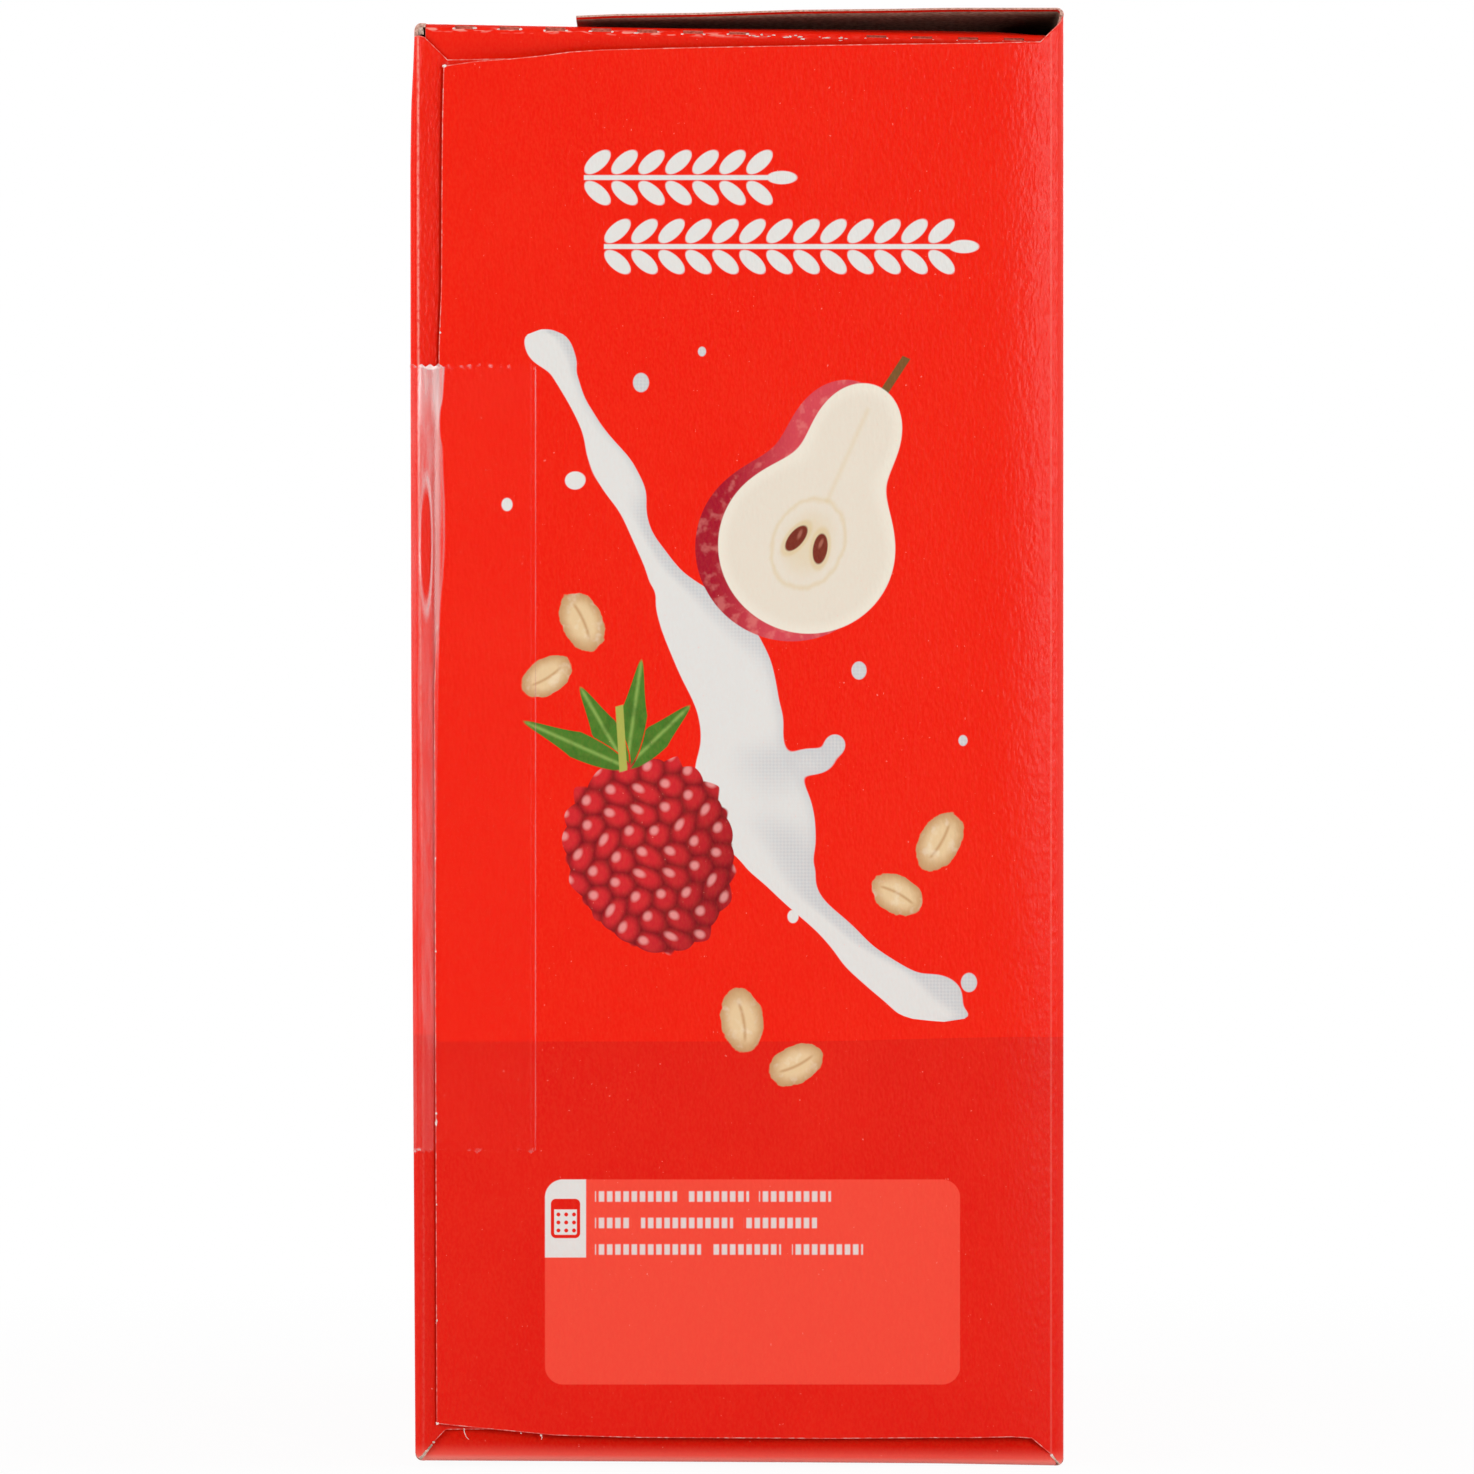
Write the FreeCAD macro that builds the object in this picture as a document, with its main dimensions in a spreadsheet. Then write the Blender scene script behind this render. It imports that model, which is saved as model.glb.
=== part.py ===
# Shut side-loading folding carton for cereal bars, with a strip of clear tape over one end flap.
# X runs from the back panel to the front panel, Y across the front, Z up. The origin is at the middle of the base.
import FreeCAD, Part
import os
import Sketcher

Vector = FreeCAD.Vector

# Driving dimensions in millimetres: alias, value, what it is.
SIZES = (
    ("pack_width", 135.0, "end to end, along Y"),
    ("pack_depth", 65.4, "back panel to front panel, along X"),
    ("back_height", 144.4, "base to the crease at the top of the back panel"),
    ("front_rise", 1.5, "how much taller the front panel is than the back panel"),
    ("inner_drop", 1.3, "fall of the inner top panel from back to front"),
    ("board", 0.4, "thickness of the folding boxboard"),
    ("crease_radius", 0.7, "outside radius of a creased fold"),
    ("flap_fold_radius", 1.4, "outside radius of the outer end flap's fold"),
    ("crest_setback", 0.2, "how far the other end folds lie behind the outer flap's face"),
    ("fold_zone", 3.0, "length of wall that a flap's bent strip shares with the tube"),
    ("outer_flap_gap", 2.65, "back panel to the foot of the outer end flap's free edge"),
    ("outer_edge_lean", 0.7, "how much further in the top of that edge is"),
    ("outer_top_gap", 2.0, "outer flap below the back crease height, at its hinge"),
    ("outer_top_fall", 0.7, "fall of its top edge towards the free edge"),
    ("outer_foot_gap", 2.55, "outer flap above the base"),
    ("flap_taper_run", 12.0, "length of the tapered lead at the outer flap's free corners"),
    ("flap_taper_drop", 1.3, "how far the taper narrows the flap at each corner"),
    ("corner_run", 2.6, "length of the flare from an outer flap's edge to its fold"),
    ("inner_flap_reach", 40.0, "length of the inner end flap from the back panel"),
    ("inner_flap_gap", 3.6, "inner flap's edges in from the top and the base"),
    ("dust_slope", 2.8, "width over which a dust flap sinks below the end flaps"),
    ("dust_side_gap", 0.6, "dust flap's side edges in from the panels"),
    ("cut_length", 2.0, "one cut of the perforated fold"),
    ("cut_pitch", 4.6, "cut to cut"),
    ("cut_width", 0.3, "width of a cut"),
    ("cut_count", 13, "cuts in one row"),
    ("cut_start", 4.0, "back panel to the first cut"),
    ("lap_cover", 48.8, "front panel to the free edge of the top overlap panel"),
    ("lap_knee", 12.0, "front panel to the line where the overlap panel starts to fall"),
    ("lap_gap", 0.65, "gap under the free edge of the overlap panel"),
    ("lap_setback", 0.3, "overlap panel's ends in from the end planes"),
    ("glue_setback", 25.0, "end plane to where the overlap panel is glued down"),
    ("tape_thickness", 0.08, "clear tape"),
    ("tape_length", 79.0, "clear tape, up and down"),
    ("tape_foot", 31.3, "base to the lower end of the tape"),
    ("tape_on_end", 12.65, "back panel to the edge of the tape on the end flap"),
    ("tape_on_back", 12.0, "end plane to the edge of the tape on the back panel"),
    ("tooth_pitch", 1.0, "saw-cut ends of the tape, tooth to tooth"),
    ("tooth_depth", 0.35, "saw-cut ends of the tape, depth of a tooth"),
)

# Expressions used by several sub-parts.
BACK = "(-sizes.pack_depth / 2)"
FRONT = "(sizes.pack_depth / 2)"
END = "(sizes.pack_width / 2)"
FRONT_HEIGHT = "(sizes.back_height + sizes.front_rise)"
INNER_FRONT_HEIGHT = "(sizes.back_height - sizes.inner_drop)"
FLOOR = f"({END} - 2 * sizes.board)"
CREST = f"({END} - sizes.crest_setback)"
UNDER_FLAP = f"({END} - sizes.board)"
OUTER_EDGE = f"({BACK} + sizes.outer_flap_gap)"
LAP_EDGE = f"({FRONT} - sizes.lap_cover)"
LAP_KNEE = f"({FRONT} - sizes.lap_knee)"
TILT = "atan(sizes.inner_drop / sizes.pack_depth)"
MARGIN = "1"  # how far a cutting sketch reaches past what it cuts


def inner_top_height(x):
    """Height of the inner top panel at x, both as expressions."""
    return f"(sizes.back_height - sizes.inner_drop * (({x}) - {BACK}) / sizes.pack_depth)"


LAP_HEIGHT = f"({inner_top_height(LAP_EDGE)} + sizes.lap_gap + sizes.board)"

doc = FreeCAD.newDocument("cereal_bar_pack")
sheet = doc.addObject("Spreadsheet::Sheet", "sizes")
for row, (alias, size, note) in enumerate(SIZES, 1):
    sheet.set(f"A{row}", alias)
    sheet.set(f"B{row}", str(size))
    sheet.setAlias(f"B{row}", alias)
    sheet.set(f"C{row}", note)
doc.recompute()


def number(expression):
    """What an expression on the sheet comes to."""
    return float(sheet.evalExpression(expression))


def new_body(name):
    """An empty body whose label is its name."""
    body = doc.addObject("PartDesign::Body", name)
    body.Label = name
    return body


def new_sketch(body, name, plane, offset="0"):
    """A sketch on one of the body's origin planes, moved along the plane's normal by an expression."""
    sketch = body.newObject("Sketcher::SketchObject", name)
    origin_plane = next(item for item in body.Origin.OriginFeatures if item.Role == plane)
    sketch.AttachmentSupport = [(origin_plane, "")]
    sketch.MapMode = "FlatFace"
    sketch.AttachmentOffset = FreeCAD.Placement(Vector(0, 0, number(offset)), FreeCAD.Rotation())
    if offset != "0":
        sketch.setExpression("AttachmentOffset.Base.z", offset)
    return sketch


def draw(sketch, corners):
    """Adds a closed outline through the corners, pairs of expressions, and ties every corner to the sheet."""
    points = [Vector(number(across), number(up), 0) for across, up in corners]
    first = sketch.GeometryCount
    for start, end in zip(points, points[1:] + points[:1]):
        sketch.addGeometry(Part.LineSegment(start, end), False)
    for index in range(len(points)):
        after = first + (index + 1) % len(points)
        sketch.addConstraint(Sketcher.Constraint("Coincident", first + index, 2, after, 1))
    for index, corner in enumerate(corners):
        for kind, expression in zip(("DistanceX", "DistanceY"), corner):
            held = Sketcher.Constraint(kind, -1, 1, first + index, 1, number(expression))
            sketch.setExpression(f"Constraints[{sketch.addConstraint(held)}]", expression)


def feature(body, kind, name, sketch, length, symmetric=False, reverse=False):
    """A pad or a pocket of a sketch. The length is an expression, or None for all the way through."""
    made = body.newObject(f"PartDesign::{kind}", name)
    made.Profile = sketch
    made.Reversed = reverse
    if symmetric:
        made.SideType = "Symmetric"
    if length is None:
        made.Type = "ThroughAll"
    else:
        made.setExpression("Length", length)
    doc.recompute()
    return made


def edges_where(shape, test):
    """Names of the straight edges whose two ends both pass the test."""
    names = []
    for index, edge in enumerate(shape.Edges, 1):
        ends = [vertex.Point for vertex in edge.Vertexes]
        if len(ends) == 2 and all(test(point) for point in ends):
            names.append(f"Edge{index}")
    return names


def round_edges(body, name, before, radius, test):
    """A fillet on the edges of the last feature whose ends pass the test."""
    names = edges_where(before.Shape, test)
    if not names:
        raise RuntimeError(f"{name}: no edge to round")
    made = body.newObject("PartDesign::Fillet", name)
    made.Base = (before, names)
    made.setExpression("Radius", radius)
    doc.recompute()
    return made


def near(value, expression):
    """Whether a coordinate lies at the place that an expression gives."""
    return abs(value - number(expression)) < 1e-4


def make_core():
    """The filled tube: full section between the fold zones, and a smaller plug out to each floor."""
    body = new_body("core")
    tube = new_sketch(body, "tube_outline", "XZ_Plane")
    draw(tube, [
        (BACK, "0"),
        (FRONT, "0"),
        (FRONT, INNER_FRONT_HEIGHT),
        (BACK, "sizes.back_height"),
    ])
    feature(body, "Pad", "tube_pad", tube, "sizes.pack_width - 2 * 1.5 * sizes.flap_fold_radius", True)
    inset = "sizes.flap_fold_radius"
    plug = new_sketch(body, "plug_outline", "XZ_Plane")
    draw(plug, [
        (f"{BACK} + {inset}", inset),
        (f"{FRONT} - {inset}", inset),
        (f"{FRONT} - {inset}", f"{INNER_FRONT_HEIGHT} - {inset}"),
        (f"{BACK} + {inset}", f"sizes.back_height - {inset}"),
    ])
    feature(body, "Pad", "plug_pad", plug, f"2 * {FLOOR}", True)
    return body


def make_outer_flap():
    """The outer end flap, folded off the front panel and lying on the inner flap."""
    body = new_body("outer_flap")
    top = f"sizes.back_height - sizes.outer_top_gap"
    taper_start = f"{OUTER_EDGE} + sizes.flap_taper_run"
    flare = f"{FRONT} - sizes.corner_run"
    outline = new_sketch(body, "outer_flap_outline", "XZ_Plane", END)
    draw(outline, [
        (FRONT, "0"),
        (f"{FRONT} - sizes.crease_radius", "0"),
        (flare, "sizes.outer_foot_gap"),
        (taper_start, "sizes.outer_foot_gap"),
        (OUTER_EDGE, "sizes.outer_foot_gap + sizes.flap_taper_drop"),
        (f"{OUTER_EDGE} + sizes.outer_edge_lean", f"{top} - sizes.outer_top_fall - sizes.flap_taper_drop"),
        (taper_start, f"{top} - sizes.outer_top_fall"),
        (flare, top),
        (f"{FRONT} - sizes.crease_radius", f"{FRONT_HEIGHT} - sizes.crease_radius"),
        (FRONT, f"{FRONT_HEIGHT} - sizes.crease_radius"),
    ])
    block = feature(body, "Pad", "outer_flap_pad", outline, "sizes.fold_zone", reverse=True)
    inside = new_sketch(body, "outer_flap_inside", "XY_Plane")
    inner_wall = f"{FRONT} - sizes.board"
    draw(inside, [
        (f"{OUTER_EDGE} - {MARGIN}", f"-{UNDER_FLAP}"),
        (inner_wall, f"-{UNDER_FLAP}"),
        (inner_wall, f"-{END} + sizes.fold_zone + {MARGIN}"),
        (f"{OUTER_EDGE} - {MARGIN}", f"-{END} + sizes.fold_zone + {MARGIN}"),
    ])
    bent = feature(body, "Pocket", "outer_flap_thickness", inside, None, symmetric=True)
    if bent.Shape.Volume >= block.Shape.Volume:
        raise RuntimeError("outer_flap_thickness cut nothing")
    outside = round_edges(
        body, "outer_flap_fold", bent, "sizes.flap_fold_radius",
        lambda point: near(point.x, FRONT) and near(point.y, f"-{END}"),
    )
    round_edges(
        body, "outer_flap_fold_inside", outside, "sizes.flap_fold_radius - sizes.board",
        lambda point: near(point.x, inner_wall) and near(point.y, f"-{UNDER_FLAP}"),
    )
    return body


def make_inner_flap():
    """The inner end flap, folded off the back panel and sinking under the outer flap."""
    body = new_body("inner_flap")
    reach = f"{BACK} + sizes.inner_flap_reach"
    corner = f"{BACK} + sizes.inner_flap_gap"
    start = f"{BACK} + sizes.board"
    outline = new_sketch(body, "inner_flap_outline", "XZ_Plane", CREST)
    draw(outline, [
        (BACK, "0"),
        (start, "0"),
        (corner, "sizes.inner_flap_gap"),
        (reach, "sizes.inner_flap_gap"),
        (reach, "sizes.back_height - sizes.inner_flap_gap"),
        (corner, "sizes.back_height - sizes.inner_flap_gap"),
        (start, "sizes.back_height"),
        (BACK, "sizes.back_height"),
    ])
    feature(body, "Pad", "inner_flap_pad", outline, "sizes.fold_zone", reverse=True)
    waste = new_sketch(body, "inner_flap_waste", "XY_Plane")
    draw(waste, [
        (BACK, f"-{CREST}"),
        (OUTER_EDGE, f"-{UNDER_FLAP}"),
        (f"{reach} + {MARGIN}", f"-{UNDER_FLAP}"),
        (f"{reach} + {MARGIN}", f"-{CREST} - {MARGIN}"),
        (BACK, f"-{CREST} - {MARGIN}"),
    ])
    draw(waste, [
        (f"{BACK} + sizes.flap_fold_radius", f"-{FLOOR}"),
        (f"{reach} + {MARGIN}", f"-{FLOOR}"),
        (f"{reach} + {MARGIN}", f"-{CREST} + sizes.fold_zone + {MARGIN}"),
        (f"{BACK} + sizes.flap_fold_radius", f"-{CREST} + sizes.fold_zone + {MARGIN}"),
    ])
    bent = feature(body, "Pocket", "inner_flap_thickness", waste, None, symmetric=True)
    round_edges(
        body, "inner_flap_fold", bent, "sizes.crease_radius",
        lambda point: near(point.x, BACK) and near(point.y, f"-{CREST}"),
    )
    return body


def make_dust_flap(name, height, tilt, upwards):
    """A dust flap with its fold: a wedge from the crest down to the floor, along a fold of the given tilt."""
    body = new_body(name)
    inward = "-" if upwards else ""
    section = new_sketch(body, f"{name}_section", "YZ_Plane")
    section.AttachmentOffset = FreeCAD.Placement(Vector(0, 0, 0), FreeCAD.Rotation(Vector(1, 0, 0), 1))
    section.setExpression("AttachmentOffset.Base.y", height)
    section.setExpression("AttachmentOffset.Base.z", f"{BACK} + sizes.dust_side_gap")
    section.setExpression("AttachmentOffset.Rotation.Angle", tilt)
    draw(section, [
        (f"-{END} + sizes.fold_zone", "0"),
        (f"-{CREST}", "0"),
        (f"-{FLOOR}", f"{inward}sizes.dust_slope"),
        (f"-{END} + sizes.fold_zone", f"{inward}sizes.dust_slope"),
    ])
    length = f"(sizes.pack_depth - 2 * sizes.dust_side_gap) / cos({tilt})"
    wedge = feature(body, "Pad", f"{name}_pad", section, length)
    round_edges(
        body, f"{name}_fold", wedge, "sizes.crease_radius",
        lambda point: near(point.y, f"-{CREST}"),
    )
    return body


def perforate(body):
    """The row of cuts along the top fold, tilted with the inner top panel."""
    first = f"{BACK} + sizes.cut_start"
    row = new_sketch(body, "cut_outline", "XZ_Plane", END)
    row.AttachmentOffset = FreeCAD.Placement(
        Vector(0, 0, number(END)), FreeCAD.Rotation(Vector(0, 0, 1), -1)
    )
    row.setExpression("AttachmentOffset.Base.x", first)
    row.setExpression("AttachmentOffset.Base.y", inner_top_height(first))
    row.setExpression("AttachmentOffset.Rotation.Angle", f"-{TILT}")
    low, high = "-sizes.crease_radius / 2 - sizes.cut_width", "-sizes.crease_radius / 2"
    draw(row, [
        ("0", low),
        ("sizes.cut_length", low),
        ("sizes.cut_length", high),
        ("0", high),
    ])
    before = body.Shape.Volume
    cut = feature(body, "Pocket", "perforation_cut", row, "sizes.crest_setback + 2 * sizes.board")
    if not 0 < cut.Shape.Volume < before:
        raise RuntimeError("perforation_cut cut nothing")
    cuts = body.newObject("PartDesign::LinearPattern", "perforation_row")
    cuts.Originals = [cut]
    cuts.Direction = (row, ["H_Axis"])
    cuts.setExpression("Length", "sizes.cut_pitch * (sizes.cut_count - 1)")
    cuts.setExpression("Occurrences", "sizes.cut_count")
    body.Tip = cuts
    doc.recompute()


def make_lap():
    """The top overlap panel, one strip with the upper edge of the front panel that it folds off."""
    body = new_body("lap_panel")
    section = new_sketch(body, "lap_section", "XZ_Plane")
    foot = f"{INNER_FRONT_HEIGHT} - sizes.fold_zone"
    draw(section, [
        (FRONT, foot),
        (FRONT, FRONT_HEIGHT),
        (LAP_KNEE, FRONT_HEIGHT),
        (LAP_EDGE, LAP_HEIGHT),
        (LAP_EDGE, f"{LAP_HEIGHT} - sizes.board"),
        (LAP_KNEE, f"{FRONT_HEIGHT} - sizes.board"),
        (f"{FRONT} - sizes.board", f"{FRONT_HEIGHT} - sizes.board"),
        (f"{FRONT} - sizes.board", foot),
    ])
    feature(body, "Pad", "lap_pad", section, "sizes.pack_width - 2 * sizes.lap_setback", True)
    return body


def make_raised_middle():
    """The middle of the inner top panel, which rises to the overlap panel where the two are glued."""
    body = new_body("raised_middle")
    section = new_sketch(body, "raised_section", "XZ_Plane")
    draw(section, [
        (LAP_EDGE, inner_top_height(LAP_EDGE)),
        (f"{FRONT} - sizes.board", inner_top_height(f"{FRONT} - sizes.board")),
        (f"{FRONT} - sizes.board", f"{FRONT_HEIGHT} - sizes.board"),
        (LAP_KNEE, f"{FRONT_HEIGHT} - sizes.board"),
        (LAP_EDGE, f"{LAP_HEIGHT} - sizes.board"),
    ])
    feature(body, "Pad", "raised_pad", section, "sizes.pack_width - 2 * sizes.lap_setback", True)
    slopes = new_sketch(body, "raised_slopes", "YZ_Plane")
    for side in ("-", ""):
        outward = "-" if side else "+"
        draw(slopes, [
            (f"{side}{END} {outward} {MARGIN}", INNER_FRONT_HEIGHT),
            (f"{side}{END}", INNER_FRONT_HEIGHT),
            (f"{side}({END} - sizes.glue_setback)", FRONT_HEIGHT),
            (f"{side}{END} {outward} {MARGIN}", FRONT_HEIGHT),
        ])
    feature(body, "Pocket", "raised_ends", slopes, None, symmetric=True)
    return body


def make_envelope():
    """The carton's outer section with its four long folds rounded, which trims every flap's corners."""
    body = new_body("envelope")
    section = new_sketch(body, "envelope_section", "XZ_Plane")
    draw(section, [
        (BACK, "0"),
        (FRONT, "0"),
        (FRONT, FRONT_HEIGHT),
        (LAP_EDGE, FRONT_HEIGHT),
        (LAP_EDGE, inner_top_height(LAP_EDGE)),
        (BACK, "sizes.back_height"),
    ])
    block = feature(body, "Pad", "envelope_pad", section, "sizes.pack_width", True)
    folds = ((BACK, "0"), (FRONT, "0"), (FRONT, FRONT_HEIGHT), (BACK, "sizes.back_height"))
    round_edges(
        body, "long_folds", block, "sizes.crease_radius",
        lambda point: any(near(point.x, x) and near(point.z, z) for x, z in folds),
    )
    return body


def mirrored(source):
    """The same flap at the other end."""
    twin = doc.addObject("Part::Mirroring", f"{source.Name}_far")
    twin.Label = twin.Name
    twin.Source = source
    twin.Normal = Vector(0, 1, 0)
    return twin


def make_carton():
    """One die-cut blank, folded, filled and glued shut."""
    top_dust = make_dust_flap(
        "top_dust_flap", inner_top_height(f"{BACK} + sizes.dust_side_gap"), TILT, upwards=True
    )
    perforate(top_dust)
    base_dust = make_dust_flap("base_dust_flap", "0", "0", upwards=False)
    flaps = [make_outer_flap(), make_inner_flap(), top_dust, base_dust]
    folded = doc.addObject("Part::MultiFuse", "folded_blank")
    folded.Shapes = [make_core(), make_lap(), make_raised_middle(), *flaps, *map(mirrored, flaps)]
    folded.Refine = True
    carton = doc.addObject("Part::Common", "carton")
    carton.Label = "carton"
    carton.Base = folded
    carton.Tool = make_envelope()
    carton.Refine = True
    return carton


def make_tape():
    """Clear tape from the outer end flap, over the gap at its edge and round onto the back panel."""
    body = new_body("clear_tape")
    face = f"-{END}"
    back_end = f"-{END} + sizes.tape_on_back"
    thick = "sizes.tape_thickness"
    section = new_sketch(body, "tape_section", "XY_Plane", "sizes.tape_foot")
    draw(section, [
        (f"{BACK} + sizes.tape_on_end", face),
        (OUTER_EDGE, face),
        (BACK, f"-{CREST}"),
        (BACK, back_end),
        (f"{BACK} - {thick}", back_end),
        (f"{BACK} - {thick}", f"-{CREST} - {thick}"),
        (OUTER_EDGE, f"{face} - {thick}"),
        (f"{BACK} + sizes.tape_on_end", f"{face} - {thick}"),
    ])
    strip = feature(body, "Pad", "tape_pad", section, "sizes.tape_length")
    inside = round_edges(
        body, "tape_bend_inside", strip, "sizes.crease_radius / 2",
        lambda point: near(point.x, BACK) and near(point.y, f"-{CREST}"),
    )
    round_edges(
        body, "tape_bend", inside, f"sizes.crease_radius / 2 + {thick}",
        lambda point: near(point.x, f"{BACK} - {thick}") and near(point.y, f"-{CREST} - {thick}"),
    )
    top = "sizes.tape_foot + sizes.tape_length"
    for wing, plane, offset, start, width in (
        ("end", "XZ_Plane", f"{END} + {MARGIN}", BACK, "sizes.tape_on_end"),
        ("back", "YZ_Plane", f"{BACK} - {MARGIN}", f"-{END} + {MARGIN}", f"(sizes.tape_on_back - {MARGIN})"),
    ):
        teeth = new_sketch(body, f"{wing}_teeth_outline", plane, offset)
        for edge, depth in ((top, "-sizes.tooth_depth"), ("sizes.tape_foot", "+ sizes.tooth_depth")):
            draw(teeth, [
                (start, edge),
                (f"{start} + sizes.tooth_pitch / 2", f"{edge} {depth}"),
                (f"{start} + sizes.tooth_pitch", edge),
            ])
        before = body.Shape.Volume
        notch = feature(
            body, "Pocket", f"{wing}_teeth_notch", teeth, f"{MARGIN} + sizes.board", reverse=wing == "back"
        )
        if not 0 < notch.Shape.Volume < before:
            raise RuntimeError(f"{wing}_teeth_notch cut nothing")
        row = body.newObject("PartDesign::LinearPattern", f"{wing}_teeth")
        row.Originals = [notch]
        row.Direction = (teeth, ["H_Axis"])
        count = f"floor({width} / sizes.tooth_pitch)"
        row.setExpression("Length", f"sizes.tooth_pitch * ({count} - 1)")
        row.setExpression("Occurrences", count)
        body.Tip = row
        doc.recompute()
    return body


def hand_in(parts):
    """Checks every object of the document and writes one STEP file for each sub-part."""
    doc.recompute()
    for item in doc.Objects:
        if {"Invalid", "Error"} & set(item.State):
            raise RuntimeError(f"{item.Name} failed: {item.State}")
    os.makedirs("parts", exist_ok=True)
    for part in parts:
        shape = part.Shape
        if shape.isNull() or not shape.isValid() or len(shape.Solids) != 1:
            raise RuntimeError(f"{part.Label} is not one valid solid")
        shape.exportStep(f"parts/{part.Label}.step")
        box = shape.BoundBox
        print(f"{part.Label}: {shape.Volume:.1f} mm3, X {box.XMin:.2f} to {box.XMax:.2f}, "
              f"Y {box.YMin:.2f} to {box.YMax:.2f}, Z {box.ZMin:.2f} to {box.ZMax:.2f}")


hand_in([make_carton(), make_tape()])
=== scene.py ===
import logging
import math
import random
from dataclasses import dataclass
from enum import Enum
from typing import Callable, Iterable, Optional, Sequence, Union

import bmesh
import bpy
import numpy as np
from mathutils import Matrix, Vector, noise


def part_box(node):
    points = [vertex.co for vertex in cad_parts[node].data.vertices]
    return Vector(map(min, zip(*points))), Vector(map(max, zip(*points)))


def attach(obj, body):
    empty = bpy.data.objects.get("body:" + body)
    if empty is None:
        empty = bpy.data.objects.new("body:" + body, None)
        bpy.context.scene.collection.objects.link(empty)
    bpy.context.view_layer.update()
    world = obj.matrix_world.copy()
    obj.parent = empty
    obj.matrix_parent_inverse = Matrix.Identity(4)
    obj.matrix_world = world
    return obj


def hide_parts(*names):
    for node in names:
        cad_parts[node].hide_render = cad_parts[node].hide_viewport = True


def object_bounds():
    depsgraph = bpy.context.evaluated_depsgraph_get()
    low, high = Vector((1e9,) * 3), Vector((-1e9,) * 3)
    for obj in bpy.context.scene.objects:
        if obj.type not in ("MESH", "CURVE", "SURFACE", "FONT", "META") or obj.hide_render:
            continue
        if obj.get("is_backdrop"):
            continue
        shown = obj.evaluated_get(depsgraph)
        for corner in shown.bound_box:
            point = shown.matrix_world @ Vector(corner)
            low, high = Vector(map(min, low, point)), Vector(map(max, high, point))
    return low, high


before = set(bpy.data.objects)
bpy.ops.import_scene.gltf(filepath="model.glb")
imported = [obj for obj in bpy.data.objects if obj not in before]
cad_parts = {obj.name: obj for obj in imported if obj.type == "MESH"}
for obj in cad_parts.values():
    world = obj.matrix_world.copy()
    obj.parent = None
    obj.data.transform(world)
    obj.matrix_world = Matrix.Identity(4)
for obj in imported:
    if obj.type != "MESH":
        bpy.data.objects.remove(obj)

CAD_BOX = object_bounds()
MM = 0.001
log = logging.getLogger("carton")

Knots = Sequence[tuple[float, float]]
Colour = tuple[float, float, float, float]
FAR_OFF: Colour = (9.0, 9.0, 9.0, 1.0)


def curve(knots: Knots, at: float) -> float:
    """Reads a line of knots at a place, straight between them and level past its ends.

    Args:
        knots: pairs of place and value, in rising order of place.
        at: the place to read.

    Returns:
        The value there.
    """
    places, values = zip(*knots)
    return float(np.interp(at, places, values))


def ease(value: float, low: float, high: float) -> float:
    """Smooth step from 0 at low to 1 at high."""
    part = min(max((value - low) / (high - low), 0.0), 1.0)
    return part * part * (3 - 2 * part)


def tone(red: float, green: float, blue: float) -> Colour:
    """A colour given in the 0 to 255 steps of a printer's proof, as linear light."""
    parts = (step / 255 for step in (red, green, blue))
    linear = (part / 12.92 if part <= 0.04045 else ((part + 0.055) / 1.055) ** 2.4 for part in parts)
    return (*linear, 1.0)


# -------------------------------------------------------------------------------------------- shader maths

class Socket:
    """A value in a shader. Working with it as with a number adds the Math nodes."""

    def __init__(self, graph: "Graph", out: bpy.types.NodeSocket) -> None:
        """Keeps the graph and the node output that the value comes from."""
        self.graph = graph
        self.out = out

    def __add__(self, other: "Value") -> "Socket":
        """Sum."""
        return self.graph.math("ADD", self, other)

    def __sub__(self, other: "Value") -> "Socket":
        """Difference."""
        return self.graph.math("SUBTRACT", self, other)

    def __rsub__(self, other: "Value") -> "Socket":
        """Difference from a number."""
        return self.graph.math("SUBTRACT", other, self)

    def __mul__(self, other: "Value") -> "Socket":
        """Product."""
        return self.graph.math("MULTIPLY", self, other)

    def __truediv__(self, other: "Value") -> "Socket":
        """Quotient."""
        return self.graph.math("DIVIDE", self, other)

    def __abs__(self) -> "Socket":
        """Size without the sign."""
        return self.graph.math("ABSOLUTE", self)

    __radd__ = __add__
    __rmul__ = __mul__


Value = Union[Socket, float]


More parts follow.
